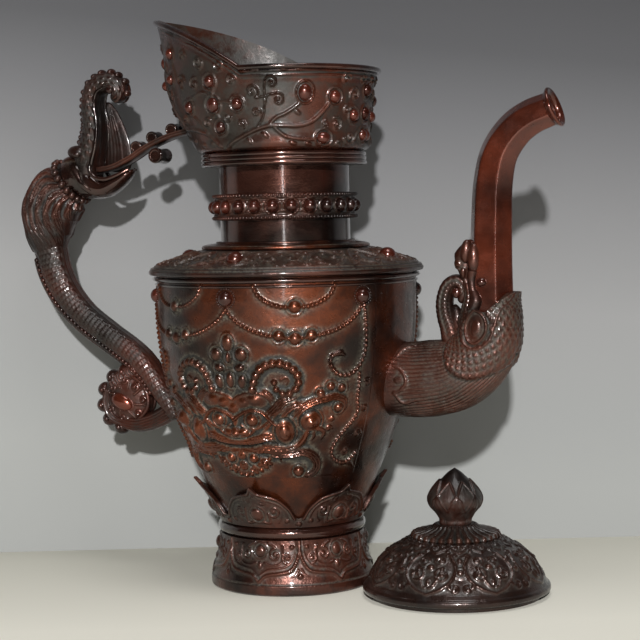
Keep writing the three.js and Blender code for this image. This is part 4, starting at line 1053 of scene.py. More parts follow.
for radius, high in [(64.6, 0.5), (63.6, 0.35), (44.4, 0.4)]:
    plateRelief.stroke([(angle, onPlate(radius)) for angle in range(0, 361, 6)], 0.4, high)
for along in (8.4, 10.6):
    plateRelief.stroke([(angle, along) for angle in range(0, 361, 6)], 0.5, 0.7, layer="cuts")
plateRelief.close()
# Over the plate's top the hollow mark is at least 0.5: grey-olive dust, which also lightens the upward-facing
# plate as painted light from above
plateRelief.hollow = np.maximum(plateRelief.hollow, 0.5 * (np.arange(plateRelief.rows) * 0.38 > 9.5)[:, None])
turnedPiece("shoulder", shoulder["wall"], shoulder["inside"], "relief", "copper", 560, 108, plateRelief,
            stands=["shoulder_plate"])
slope = math.atan(7 / 21.8)
spots = []
for angle in range(0, 360, 90):
    high = 160.2 + (64.8 - shoulder["bosses"]) * math.tan(slope)
    outward = around(math.sin(slope), angle, math.cos(slope))
    spots.append((around(shoulder["bosses"], angle - 1, high + 0.2), outward, (4.2, 4.2, 3.8)))
studs("shoulder_bosses", spots, stands=[f"shoulder_boss_{i}" for i in range(1, 5)])

# Neck: a polished tube on a stepped collar, with a band of bosses between beaded wires
turnedPiece("neck", [(32.3, 165.3), (32.3, 208)], [(30.8, 208), (30.8, 165.3)], "polished", "red_copper",
            200, 12, stands=["neck_tube"])
collarWall = rounded([(32.6, 167.5), (42, 167.5), (42, 169.4), (37.6, 170.2), (34.8, 170.4), (34.8, 171.3),
                      (32.6, 171.3)], 0.8, 4)
collarRelief = Relief(15, 40, 0.36)
collarRelief.stroke([(angle, 11.4) for angle in range(0, 361, 5)], 0.4, 0.4, layer="cuts")
collarRelief.close()
turnedPiece("neck_foot", collarWall, [], "field", "copper", 200, 60, collarRelief, stands=["neck_collar"])
band = {"low": 181.7, "high": 194.7, "radius": 35}
bandWall = [(32.6, 181.7), (35.3, 181.7), (35.4, 184), (34.5, 184.4), (34.8, 188.2), (34.5, 192),
            (35.4, 192.4),
            (35.3, 194.7), (32.6, 194.7)]
bandRelief = Relief(14, 35, 0.3)
for angle in range(0, 360, 15):
    bandRelief.ring(angle, 6.5, 3.7, 3.7, 0.5, 0.8)
    bandRelief.dome(angle + 7.5, 4.2, 0.7, high=0.6)
    bandRelief.dome(angle + 7.5, 8.8, 0.7, high=0.6)
bandRelief.close()
turnedPiece("band", rounded(bandWall, 0.8, 5), [], "relief", "copper", 400, 60, bandRelief, 181.7,
            stands=["neck_band"])
middle = (band["low"] + band["high"]) / 2
studs("band_bosses", [(around(band["radius"] + 0.3, angle, middle), around(1, angle, 0), (3.0, 3.2, 3.0))
                      for angle in np.arange(0, 360, 15)])
for name, height in (("band_beads_low", 182.8), ("band_beads_high", 193.6)):
    beadPiece(name, [around(35.5, 360 * i / 112, height) for i in range(112)], 0.95)
print("shoulder and neck made")

# Cup: round at the front, drawn out into a raised point over the handle
cup = {
    "base": 208.3,
    "sheet": 1.5,
    "front": [(38.9, 0), (38.9, 6.2), (42.4, 8.5), (43, 15), (43.8, 24), (44.8, 33), (46, 41), (47.6, 46.7)],
    "rear": [(38.9, 0), (38.9, 6.2), (44, 8.7), (51, 18.2), (58.5, 27.7), (62.8, 40), (65, 58), (68.6, 75.3)],
    "point": 1.6,
    "sweep": 1.8,
    "rows": 128,
}
fineFront = np.vstack([cup["front"][:1], through(cup["front"][1:], 120)])
fineRear = np.vstack([cup["rear"][:1], through(cup["rear"][1:], 120)])
reachFront = np.concatenate([[0], np.cumsum(np.linalg.norm(np.diff(fineFront, axis=0), axis=1))])
shares = np.linspace(0, reachFront[-1], cup["rows"] + 1)
cupFront = np.stack([np.interp(shares, reachFront, fineFront[:, k]) for k in range(2)], 1)
cupRear = np.stack([np.interp(shares, reachFront, fineRear[:, k]) for k in range(2)], 1)


def cupPlace(angle, j, inward=0.0):
    # Radius and height of the cup's wall at an angle, and the wall's lean
    fromRear = np.abs((np.degrees(angle) + 90 + 540) % 360 - 180)
    t = np.clip(1 - fromRear / 90, 0, 1)
    out, up = t ** cup["point"], 1 - (1 - t) ** cup["sweep"]
    radius = cupFront[j, 0] * (1 - out) + cupRear[j, 0] * out
    height = cupFront[j, 1] * (1 - up) + cupRear[j, 1] * up
    return radius - inward, height


vine = Relief(77, lambda up: 43 + up * 0.1, 0.33)
vineBosses = []


def onCup(points):
    return [(angle + 1, height - cup["base"]) for angle, height in points]


def vineStroke(points, width=0.8, high=0.9, taper=(1, 1)):
    vine.stroke(onCup(points), width, high, taper)


def vineBoss(angle, height, wide=2.6, tall=None, high=2.3, turn=0):
    wide, tall = wide * 1.1, (tall or wide) * 1.1
    vineBosses.append((angle + 1, height - cup["base"], wide, tall, high * 1.2))
    vine.dome(angle + 1, height - cup["base"], wide, tall, 0.8, turn)
    vine.ring(angle + 1, height - cup["base"], wide + 1.2, tall + 1.2, 0.5, 0.8)


def vineSpiral(angle, height, size, start, turns, tail=(), width=0.42, high=1.15):
    vine.spiral(angle + 1, height - cup["base"], size, start, turns * 0.86, width, high, tail=onCup(tail))


vineStroke([(-18, 214), (-14, 216.6), (-10, 219), (0, 222.6), (8, 225), (16, 226.4), (25, 226.2), (35, 226.2),
            (43, 228.3), (50, 233), (54, 236.8)], 1.0, 1.2)
vineBoss(58, 239.7, 2.9)
vineStroke([(15, 226.6), (20, 230.2), (25, 231.8), (31, 234.6), (34.6, 237)], 0.8, 1.0)
vineBoss(37.8, 241.6, 3.0, 3.8)
vineStroke([(18, 226), (22, 223), (26, 221), (32, 220), (38, 219.6), (45, 219.6)], 0.8, 1.0)
vineBoss(50.5, 220.2, 3.3, 2.7)
vineSpiral(5.4, 242.6, 3.6, -60, 1.6, [(8, 226), (11.6, 230.4), (13, 236), (12.6, 240)])
vineSpiral(17.6, 246.6, 3.2, 150, -1.5, [(13, 238), (13.2, 243)])
vineSpiral(21.4, 238.6, 3.2, 120, -1.5, [(13.2, 236.6), (15, 240.6)])
for angle, height, size, start, turns in [
    (7.6, 232.6, 2.4, 0, 1.4), (-3, 227.6, 2.4, -60, 1.4), (60, 226.6, 3.6, 120, -1.6),
    (72, 220.5, 3.4, 180, 1.6),
    (66, 248.4, 3.2, 0, 1.5), (75, 241, 4.2, 200, -1.6), (62, 216.6, 2.6, 0, 1.4),
    (-15.3, 256, 3.0, 180, 1.5),
    (-31, 258, 3.4, 0, -1.5), (-8, 248.4, 2.8, 0, 1.5), (68, 233.6, 2.8, 0, 1.4), (52, 226.6, 2.2, 90, 1.3),
    (83, 249.4, 2.8, 180, 1.4), (-36, 248, 3.2, 60, 1.5), (-48, 250, 3.2, 0, 1.5),
    (-29, 229, 2.6, 30, 1.4), (-52, 232.4, 2.8, 200, 1.4), (-66, 244, 3.4, 0, 1.5), (-70, 258, 3.2, 90, -1.5),
    (-80, 268, 3.0, 0, 1.4), (-78, 236, 2.8, 30, 1.4), (-44, 262, 2.8, 0, 1.4), (-12.6, 230.8, 2.2, 0, -1.3),
]:
    vineSpiral(angle, height, size, start, turns)
vineStroke([(66, 220), (70, 217), (76, 218.6), (79.4, 222.6), (82.6, 224)], 0.8, 1.0)
for angle, height, wide in [
    (86.6, 222, 2.7), (75, 231.2, 2.7), (89, 243.6, 2.8), (89, 232.4, 3.0), (-23.6, 248.3, 2.7),
    (-44, 237, 2.6), (-22.8, 237.2, 3.4), (-5.2, 237.1, 2.6), (-18.5, 226.5, 2.6), (-57.4, 264, 2.6),
    (-89, 262, 3.0), (-80, 250, 2.4), (-61, 251.6, 2.2),
]:
    vineBoss(angle, height, wide)
vineStroke([(-20, 217), (-30, 223), (-45, 226.4), (-60, 227.6), (-75, 231), (-89, 230)], 0.9, 1.1)
vineStroke([(-22, 241), (-30, 243.6), (-38, 241.6), (-44, 240)], 0.7, 0.9, (0.6, 1))
vineStroke([(-20.6, 246), (-22.8, 241)], 0.8, 0.9)
vineStroke([(-18, 230), (-21, 234)], 0.8, 0.9)
vineStroke([(-9, 238), (-16, 238.6), (-20, 238)], 0.8, 0.9)
vineStroke([(-30, 224), (-40, 231.6), (-44, 234)], 0.7, 0.9)
vineStroke([(-48, 246), (-55, 256), (-57, 261)], 0.7, 0.9)
vineStroke([(-60, 228), (-66, 236), (-72, 246), (-80, 256), (-88, 258)], 0.8, 1.0)
for i in range(9):
    vine.dome(97 - i * 1.7, 11.6 + (i % 3) * 13.4, 1.0, high=0.8)
for angle, height, wide, tall, turn in [
    (12.4, 219.6, 1.2, 2.2, 50), (2, 217, 1.1, 2.0, 40), (33, 230, 1.0, 2.0, 50), (30, 215.6, 1.2, 2.2, 70),
    (40, 215, 1.1, 2.0, 70), (48, 214.6, 1.0, 1.8, 90), (25, 250.6, 1.0, 2.0, 80),
    (34, 250.6, 1.0, 2.0, 80), (0, 249.8, 1.0, 2.0, 80), (-38, 216.4, 1.1, 2.1, 80),
    (-28, 216.6, 1.1, 2.0, 70),
    (-50, 218.4, 1.1, 2.1, 90), (-64, 220, 1.1, 2.1, 90), (-78, 222, 1.1, 2.1, 90), (70, 212.9, 1, 1.8, 80),
    (8, 250.8, 1.0, 1.8, 80),
]:
    vine.dome(angle + 1, height - cup["base"] + 2.4, wide, tall, 0.9, turn)
vine.close(mirror=90, halo=2.2)


def cupPiece():
    columns, rows = 620, cup["rows"]
    last = rows + 27

    def turn(i):
        return (i % columns) / columns * fullTurn

    def place(i, j):
        angle, on = turn(i), j <= rows
        k = np.clip(np.where(on, j, rows - (j - rows - 1) * rows // 23), 0, rows)
        k = np.where(j == last, 0, k)
        radius, height = cupPlace(angle, k)
        above, below = cupPlace(angle, np.minimum(k + 1, rows)), cupPlace(angle, np.maximum(k - 1, 0))
        lean = np.arctan2(above[0] - below[0], above[1] - below[1])
        top = cupPlace(angle, np.full(len(i), rows))[1]
        near = np.clip((top - height) / 2.5, 0, 1) * np.clip((height - 8) / 1.5, 0, 1)
        rise = vine.at(vine.height, angle, height) * near
        line = np.exp(-(((top - height - 3.0) / 0.55) ** 2)) + np.exp(-(((top - height - 5.0) / 0.5) ** 2))
        rise = np.where(on, rise + line * 0.45, 0)
        radius, height = radius + rise * np.cos(lean), height - rise * np.sin(lean)
        radius = np.where(on | (j == last), radius, radius - cup["sheet"])
        radius = np.where((j == last - 1) | (j == last - 2), 30.8, radius)
        height = np.where((j == last - 2) | (j == last - 3), cup["sheet"],
                          np.where(j == last - 1, 0.0, height))
        return radius * np.sin(angle), -radius * np.cos(angle), height + cup["base"]

    def marks(i, j):
        angle, on = turn(i), j <= rows
        k = np.where(on, j, 0)
        radius, height = cupPlace(angle, k)
        top = cupPlace(angle, np.full(len(i), rows))[1]
        near = np.clip((top - height) / 2.5, 0, 1)
        # The two grooves under the rim: dust, and near-black painted shade at their deepest
        groove = np.exp(-(((top - height - 4.0) / 0.45) ** 2)) + np.exp(-(((top - height - 6.2) / 0.7) ** 2)) * 0.6
        # Grime covers the ground, but for the rubbed field under the stem and a patch beside it
        side = (np.degrees(angle) + 180) % 360 - 180
        side = np.where(side > 90, 180 - side, np.where(side < -90, -180 - side, side))
        field = np.exp(-(((side - 28) / 24) ** 2 + ((height - 9.5) / 4.4) ** 2))
        patch = np.exp(-(((side - 45) / 9) ** 2 + ((height - 28) / 8) ** 2)) * 0.7
        ground = 0.62 * np.clip((height - 6) / 3, 0, 1) * np.clip((top - height - 7) / 2, 0, 1)
        ground = ground * (1 - np.clip(field + patch, 0, 1))
        hollow = np.maximum(vine.at(vine.hollow, angle, height), ground) * near + groove
        # The cup's inside and floor take a fixed hollow mark of 0.62: painted shade that darkens and dulls the
        # inner wall
        return {"hollow": np.where(on, np.clip(hollow, 0, 1), 0.62),
                "crest": np.where(on, vine.at(vine.crest, angle, height) * near, 0)}

    mesh = sheetMesh("cup", columns, last, place, marks)
    finishPiece(mesh, "cup", "cup", "copper", stands=["mouth_cup"])


cupPiece()
spots = []
for angle, height, wide, tall, rise in vineBosses:
    for turn in (math.radians(angle), math.pi - math.radians(angle)):
        radii, heights = cupPlace(np.full(cup["rows"] + 1, turn), np.arange(cup["rows"] + 1))
        radius = np.interp(height, heights, radii)
        lean = np.interp(height + 1, heights, radii) - radius
        centre = math.sin(turn) * radius, -math.cos(turn) * radius, height + cup["base"]
        spots.append((centre, (math.sin(turn), -math.cos(turn), -lean), (wide, tall, rise)))
studs("cup_bosses", spots, segments=28, rings=16, depth=0.3)
ringWall = []
for i in range(3):
    for t in (-80, -50, -20, 10, 40, 70):
        turn = math.radians(t)
        ringWall.append((40.4 + 0.9 * math.cos(turn) - 0.15 * i,
                         208.3 + 1.05 + i * 2.1 + 1.05 * math.sin(turn)))
turnedPiece("cup_foot", ringWall, [(39.1, 214.6), (39.1, 208.3)], "polished", "copper", 200,
            stands=["cup_ring"])


def rimPiece():
    columns, sides = 400, 12

    def place(i, j):
        angle, turn = (i % columns) / columns * fullTurn, (j % sides) / sides * fullTurn
        radius, height = cupPlace(angle, np.full(len(i), cup["rows"]))
        radius = radius + 0.6 + 1.15 * np.cos(turn)
        height = height - 1.15 + 1.3 * np.sin(turn)
        return radius * np.sin(angle), -radius * np.cos(angle), height + cup["base"]

    finishPiece(sheetMesh("rim", columns, sides, place), "rim", "polished", "red_copper",
                stands=["rim_wire"], sharp=80)


rimPiece()
print("cup made")

# Spout: a makara's head on an elbow. Its hair runs back to the bowl, its cheek is scaled, and its
# mouth holds a six-sided tube.
makara = {
    "path": [(52, 102.5), (64, 102.7), (77, 103.6), (90, 106.2), (100, 113), (105.6, 122.5), (107.2, 131.5),
             (106.8, 140), (107, 149)],
    "thick": [17.3, 17.8, 17.6, 16.4, 14.8, 13.6, 12.4, 12, 11.8],
    "wide": [15.3, 15.6, 15.4, 15, 14.2, 13.4, 12.7, 12.4, 12.2],
    "cheek": [(88.2, 137), (88.4, 124), (87.8, 116), (89.6, 110.5), (93.6, 107), (99.5, 105.3), (106, 106.6),
              (112, 109.4), (117, 112.4), (119.4, 116)],
    "mouth": [(103.6, 137.6), (100.4, 133.8), (98.9, 128.6), (100, 123.8), (103, 121.7), (106.4, 123.4),
              (108.8, 127.6), (108.6, 132.4), (106.6, 136)],
    "jaw": [(0, 136), (50, 137.4), (72, 138.2), (88, 136.4), (100, 136.6), (120, 140.8), (150, 145.4),
            (180, 146.2),
            (210, 145.4), (240, 140.8), (260, 136.6), (272, 136.4), (288, 138.2), (310, 137.4), (360, 136)],
    "lip": [(96.6, 133), (96.6, 126.6), (98.8, 121.6), (102.8, 119.2), (107.4, 120.8), (110.8, 125.4),
            (112.2, 131),
            (113.8, 136.6), (117.4, 142.6), (120.6, 146.8)],
}
elbow = Bar(makara["path"], makara["thick"], makara["wide"])
coat = elbow.relief(0.33)
cheekLine = elbow.spot(makara["cheek"])
cheekEdge = [(-1, elbow.length + 2), *[(-1, cheekLine[1][1])], *cheekLine[1:], (181, cheekLine[-1][1] + 1),
             (181, elbow.length + 2)]
inCheek = coat.fill(cheekEdge, 1.2)
for angle in np.arange(3, 180, 6.2):
    bend = 5 * math.sin(math.radians(angle * 2))
    coat.stroke([(angle - bend, 8), (angle, 18), (angle + bend * 0.4, 32), (angle + bend, 46),
                 (angle + 6, 60)],
                0.62, 0.85, (0.3, 1, 1, 1))
    coat.stroke([(angle + 3 - bend, 12), (angle + 3, 26), (angle + 3 + bend, 42), (angle + 9, 58)], 0.36,
                0.55,
                (0.3, 1, 1, 1))
coat.detail[inCheek] = 0
coat.beads(cheekLine, 1.05, 1.7, 1.0)
coat.stroke([(angle + 0.6, up + 1.5) for angle, up in cheekLine[2:]], 0.45, 0.5)
mouthLine = elbow.spot(makara["mouth"])
mouthGround = coat.fill(elbow.spot([(x + (x - 104) * 0.25, z + (z - 129) * 0.25) for x,
                                    z in makara["mouth"]]), 0)
rowStep, columnStep = 2.1, 14.5
for row in range(int(elbow.length / rowStep)):
    up = row * rowStep
    for column in range(-1, 13):
        angle = (column + 0.5 * (row % 2)) * columnStep
        r = min(coat.rows - 1, int(up / coat.cell))
        c = int(round(math.radians(angle) / coat.step)) % coat.columns
        if inCheek[r, c] and not mouthGround[r, c]:
            coat.scale(angle, up, 1.85, 2.1, 1.2, -1)
coat.detail[mouthGround] = 0
coat.stroke([*mouthLine, mouthLine[0]], 0.75, 1.1)
coat.dome(*elbow.spot([(104, 129)])[0], 2.4, 4.2, 0.7)
coat.stroke(elbow.spot(makara["lip"]), 0.85, 1.3)
coat.beads(elbow.spot([(98.6, 138), (97.8, 142), (96.8, 146)]), 0.8, 1.8)
for leaf in [[(62.5, 114), (66, 118), (72, 119.6)], [(62.5, 97.5), (66.4, 93.2), (72.6, 94)],
             [(62, 110.5), (66.4, 108.4), (69, 103.6), (66.4, 99.4), (62, 97.5)]]:
    coat.stroke(elbow.spot(leaf), 0.9, 1.1, (0.5, 1, 0.5))
coat.dome(*elbow.spot([(66, 104)])[0], 1.8, 3.2, 0.9)
coat.close(mirror=0)


def jawEnd(angle):
    # Where the mouth's edge lies along the elbow, at an angle round it
    table = np.array(makara["jaw"], float)
    height = np.interp(angle % 360, table[:, 0], table[:, 1])
    upright = elbow.table[1]
    rising = elbow.table[0] > 100
    return np.interp(height, upright[rising], elbow.reach[rising])


elbow.piece("makara", "relief", "dark_copper", 300, 184, coat, wall=1.0, low=2.5, high=jawEnd,
            grow=0.3, stands=["spout_root", "spout_head"])

tubeFacts = {
    "path": [(107.2, 124), (107.4, 140), (107.4, 160), (107.9, 180), (108.9, 197), (112, 210.5), (119, 220.8),
             (127.5, 227), (137.2, 230.6)],
    "thick": [11.3, 11, 10.7, 10.4, 10, 9.6, 9.2, 8.7, 8.2],
}


def sixSided(angle, share):
    # Flat sides with narrow rounded corners
    off = np.abs((angle + 30) % 60 - 30)
    flat = math.cos(math.radians(30)) / np.cos(np.radians(30 - off))
    return flat - 0.022 * np.exp(-((off / 3.2) ** 2))


tube = Bar(tubeFacts["path"], tubeFacts["thick"], tubeFacts["thick"])
tube.piece("tube", "tube", "red_copper", 180, 90, wall=1.5, section=sixSided, stands=["spout_tube"], sharp=50)
tubeEnd, tubeAim = Vector((137.2, 0, 230.6)), Vector((9.7, 0, 3.6)).normalized()
lipWall = rounded([(6.7, 0.1), (8.2, 0.1), (8.8, 1.2), (9.7, 2.0), (9.8, 2.7), (9.2, 3.4), (8.2, 3.2),
                   (7.2, 2.4)],
                  0.5, 4)
lipPiece = turnedPiece("tube_lip", lipWall, [(6.7, 1.6)], "tube", "red_copper", 96, 40, stands=["spout_lip"])
aim = tubeAim.to_track_quat("Z", "Y").to_matrix().to_4x4()
lipPiece.data.transform(Matrix.Translation(tubeEnd * mm) @ aim)

# Its trunk and crest, on the bowl's side of the tube
trunkFacts = {
    "path": [(92.6, 126), (94.6, 132), (96.8, 139), (97.4, 146), (95.4, 152), (95.2, 157), (94.9, 163),
             (97.4, 170.6)],
    "thick": [3.0, 3.8, 3.4, 2.6, 2.5, 4.8, 5.6, 1.4],
    "wide": [4.4, 5.6, 5.6, 5.0, 5.0, 6.0, 6.0, 2],
}
snout = Bar(trunkFacts["path"], trunkFacts["thick"], trunkFacts["wide"])
snoutCoat = snout.relief(0.3)
for i in range(10):
    snoutCoat.scale(90, 4 + i * 2.1, 2.4, 1.7, 0.8, -1)
    snoutCoat.scale(40, 5 + i * 2.1, 1.6, 1.5, 0.7, -1)
snoutCoat.spiral(118, 37.4, 2.7, 90, 1.4, 0.6, 0.9)
snoutCoat.spiral(60, 34, 2.4, -90, -1.3, 0.6, 0.9)
snoutCoat.dome(90, 29.6, 1.6, 2.6, 1.2)
snoutCoat.dome(90, 41, 1.4, 1.8, 0.9)
snoutCoat.close(mirror=0)
snout.piece("makara_trunk", "relief", "dark_copper", 90, 120, snoutCoat, ends=(1, 3.4),
            stands=["spout_trunk"])
crestFacts = {
    "path": [(87.6, 121), (86.4, 128), (84.4, 134), (83.8, 141), (86, 148), (90.4, 150.4), (93.4, 147.6),
             (93, 142.8), (90.4, 141.6)],
    "thick": [5.6, 5.2, 4.6, 4.3, 3.9, 3.5, 3.0, 2.6, 2.2],
    "wide": [4.6, 4.6, 4.4, 4.2, 4.0, 3.8, 3.4, 3.0, 2.6],
}
crestBar = Bar(crestFacts["path"], crestFacts["thick"], crestFacts["wide"])
crestCoat = crestBar.relief(0.3)
for i in range(18):
    crestCoat.scale(55, 3 + i * 2.1, 1.5, 1.4, 0.7, 1)
    crestCoat.scale(105, 4 + i * 2.1, 1.5, 1.4, 0.7, 1)
crestCoat.close(mirror=0)
crestBar.piece("makara_crest", "relief", "dark_copper", 72, 110, crestCoat, ends=(1, 2),
               stands=["spout_crest"])
combBar = Bar([(92, 121), (90.4, 128), (89.4, 134), (88.9, 139.6)], [4.2, 4.8, 3.8, 1.6], [4, 3.8, 3.2, 1.6])
combBar.piece("makara_comb", "relief", "dark_copper", 48, 60, ends=(1, 3))
for name, side in (("front", -1), ("rear", 1)):
    cordPiece(f"makara_stem_{name}", [(98.6, side * 9.4, 132.6), (100.8, side * 9.6, 137),
                                      (102.6, side * 9.3, 142),
                                      (101, side * 9.1, 147), (100.6, side * 9, 152), (101.2, side * 9, 156)],
              [2.2, 3.0, 3.2, 1.9, 1.9, 2.4], "relief", "dark_copper", columns=20)
    studs(f"makara_lobe_{name}", [((101.6, side * 8.4, 161.6), (-0.5, side * 0.87, 0.05), (3.0, 7.4, 3.2)),
                                  ((97.2, side * 6.4, 165), (-0.7, side * 0.7, 0.1), (2.6, 5.6, 2.8))],
          "relief", "dark_copper", 28, 16)
studs("makara_pearls", [((90.6, -3.0, 145), (0, -1, 0), (2.2, 2.6, 1.6)),
                        ((90.6, 3.0, 145), (0, 1, 0), (2.2, 2.6, 1.6)),
                        ((105.6, -9.6, 150.4), (0, -1, 0), (2.5, 2.2, 2.2)),
                        ((105.6, 9.6, 150.4), (0, 1, 0), (2.5, 2.2, 2.2))])
print("spout made")

# Handle: a scaled body with a beaded ridge on its outer side
handle = {
    "path": [(-60, 79), (-70, 92), (-80.7, 106.5), (-89.5, 114.4), (-103, 123.4), (-117.5, 133.6),
             (-128, 144.8),
             (-134.4, 156.4), (-137.4, 168), (-138.2, 172)],
    "thick": [4.6, 5.2, 5.8, 6.2, 6.2, 6.5, 7.4, 8, 8.6, 8.4],
    "wide": [7.0, 7.0],
}
arm = Bar(handle["path"], handle["thick"], handle["wide"])
armCoat = arm.relief(0.33)
for row in range(int(arm.length / 2.7) + 1):
    for column in range(6):
        angle = 58 + (column + 0.5 * (row % 2)) * 16
        if angle < 140:
            armCoat.scale(angle, row * 2.7, 1.7, 2.9, 1.0, 1)
for angle, high in ((20, 0.8), (51, 0.8), (144, 0.9), (154, 0.5), (164, 0.4)):
    armCoat.stroke([(angle, up) for up in np.linspace(2, arm.length - 2, 12)], 0.6, high)
armCoat.close(mirror=0)
arm.piece("handle_arm", "dragon", "dark_copper", 112, 300, armCoat, low=2, ends=(2, 0.1),
          stands=["handle_body"])
ridgeBar = {"low": 21, "high": arm.length - 7}
ridgePath = []
for along in np.linspace(ridgeBar["low"], ridgeBar["high"], 14):
    x, y, z = arm.point(0, along, 1.5)
    ridgePath.append((x, z))
Bar(ridgePath, [1.9], [1.7]).piece("handle_rail", "relief", "dark_copper", 20, 90, ends=(2, 2),
                                   stands=["handle_ridge"])
beadCount = int((ridgeBar["high"] - ridgeBar["low"]) / 2.4)
alongs = np.linspace(ridgeBar["low"] + 1, ridgeBar["high"] - 1, beadCount)
beadPiece("handle_beads", [arm.point(angle, along, 0.8) for along in alongs for angle in (-36, 36)], 1.4,
          "dragon", "dark_copper")

# Mane: locks of hair that sweep back and down from the collar
mane = {
    "path": [(-137.4, 164.6), (-138.6, 176), (-136.6, 188), (-131.2, 197.4), (-125.2, 202.8)],
    "thick": [7.6, 12.6, 15.4, 14.6, 11],
    "wide": [6.8, 10.4, 12, 11.6, 9.8],
    "locks": [
        [(-129, 212), (-138, 211.6), (-146, 204.6), (-150, 194), (-149.6, 184), (-147, 176), (-143.6, 168.4)],
        [(-127.6, 208.6), (-135, 208.4), (-142.6, 202), (-146, 192.6), (-145.6, 183), (-142.6, 175),
         (-140.4, 167.4)],
        [(-126, 205), (-132.6, 204.8), (-139.4, 198.6), (-142, 189.6), (-141, 181), (-138, 172.6),
         (-137.2, 166)],
        [(-124.6, 201.8), (-130, 200.8), (-135.6, 194.8), (-137.6, 186.6), (-136.6, 179), (-134.4, 172),
         (-133.8, 166)],
        [(-122.8, 199), (-127.8, 196.8), (-131.8, 190.8), (-132.8, 184), (-131.6, 176.6), (-131, 169)],
        [(-121, 197), (-124.8, 193.6), (-127.8, 188), (-128.4, 181.6), (-128, 175), (-128.6, 169)],
        [(-119.4, 195), (-121.8, 190.6), (-123.2, 185.6), (-121.4, 180.4)],
        [(-117.4, 193.4), (-118, 189), (-117.6, 184.6)],
    ],
}
maneBar = Bar(mane["path"], mane["thick"], mane["wide"])
maneCoat = maneBar.relief(0.3)
for number, lock in enumerate(mane["locks"]):
    spots = maneBar.spot(lock)
    maneCoat.stroke(spots, 1.9, 1.1, (0.6, 1, 1.1, 0.9, 0.5, 0.2), layer="swell")
    for offset, high in [(-2.0, 0.6), (-1.1, 0.9), (-0.3, 1.0), (0.6, 0.8), (1.4, 1.0), (2.1, 0.6)]:
        wave = [3.4 * math.sin(1.9 * k + number * 1.3 + offset) for k in range(len(spots))]
        shifted = [(angle + offset * 4.2 + bend, up + offset * 0.3) for (angle, up), bend in zip(spots, wave)]
        maneCoat.stroke(shifted, 0.36, high, (0.7, 1, 1, 0.9, 0.6, 0.3))
for angle in (8, 20):
    maneCoat.strands([(angle, up) for up in np.linspace(4, maneBar.length - 2, 9)], 3, 1.2, 0.5, 0.7)
maneCoat.close(mirror=0)
maneBar.piece("handle_hair", "dragon", "dark_copper", 220, 150, maneCoat, ends=(3.5, 0.2),
              stands=["handle_mane"])

# Beaded collar behind the head
collarBar = Bar([(-125.4, 202.5), (-122.2, 204.8)], [12.4], [11.4])
collarBar.piece("head_collar", "lid", "copper", 90, 14, ends=(1.2, 1.2), stands=["handle_collar"])
spots = [collarBar.point(angle, collarBar.length * 0.5, 0.2) for angle in range(9, 360, 18)]
beadPiece("head_collar_beads", spots, 2)

# Head: a smooth cheek that runs out into the lower jaw, with a raised rim along the mouth
head = {
    "path": [(-122.8, 204.3), (-118.6, 205.4), (-112, 202), (-103, 199.4), (-94, 203), (-85.4, 209)],
    "thick": [11.4, 11, 8, 4.8, 3.4, 1.4],
    "wide": [10.4, 10.6, 9.4, 8, 6.4, 3.6],
    "mouth": [(-107.4, 211.6, 8.2), (-107.2, 208.6, 8.4), (-104.4, 205.4, 8.2), (-98.6, 204.4, 7.4),
              (-92, 206.6, 6.0), (-86.4, 209.4, 3.4)],
}
skull = Bar(head["path"], head["thick"], head["wide"])
skullCoat = skull.relief(0.32)
for i in range(5):
    skullCoat.stroke(skull.spot([(-119 + i * 0.4, 214 - i), (-113.4, 206.6 - i * 1.1),
                                 (-107, 198.4 - i * 0.4),
                                 (-99, 196.8 - i * 0.5)]), 0.45, 0.45, (1, 1, 0.5))
skullCoat.dome(*skull.spot([(-116.6, 215.4)])[0], 2.4, 3.2, 1.6)
skullCoat.close(mirror=0)
skull.piece("head_jaw", "polished", "copper", 130, 130, skullCoat, ends=(0.2, 5), stands=["handle_head"])
studs("head_brows", [((-116, side * 7.4, 219), (-0.2, side, 0.5), (5.2, 3.4, 2.8)) for side in (-1, 1)],
      "relief",
      "copper", 28, 14)
studs("head_eyes", [((-114.6, side * 8.9, 217.6), (0, side, 0), (2.4, 2.0, 1.8)) for side in (-1, 1)],
      slot="copper")

# Trunk: a channel open towards the cup, scalloped down its back, that curls over at its top
trunk = {
    "path": [(-113.4, 206), (-111.4, 214), (-108.6, 222), (-107, 232), (-108.2, 242), (-106.6, 250.4),
             (-100, 254.4),
             (-93.6, 251.8), (-93.4, 247.2), (-97.6, 247.4)],
    "thick": [8.4, 8.6, 7.6, 6.4, 5.8, 5.6, 5.2, 4.7, 3.8, 2.4],
    "wide": [8.4, 8.6, 8.4, 7.6, 7.0, 6.6, 6.2, 5.8, 5.2, 4],
    "edge": 122,
}


def channel(angle, share):
    # Open on its inner side, until it curls
    depth = 0.62 * np.clip(1.0 - np.abs(share - 0.36) / 0.36, 0, 1) ** 0.5
    return 1 - depth * np.exp(-((np.abs((angle + 180) % 360 - 180) - 180) / 44) ** 2)


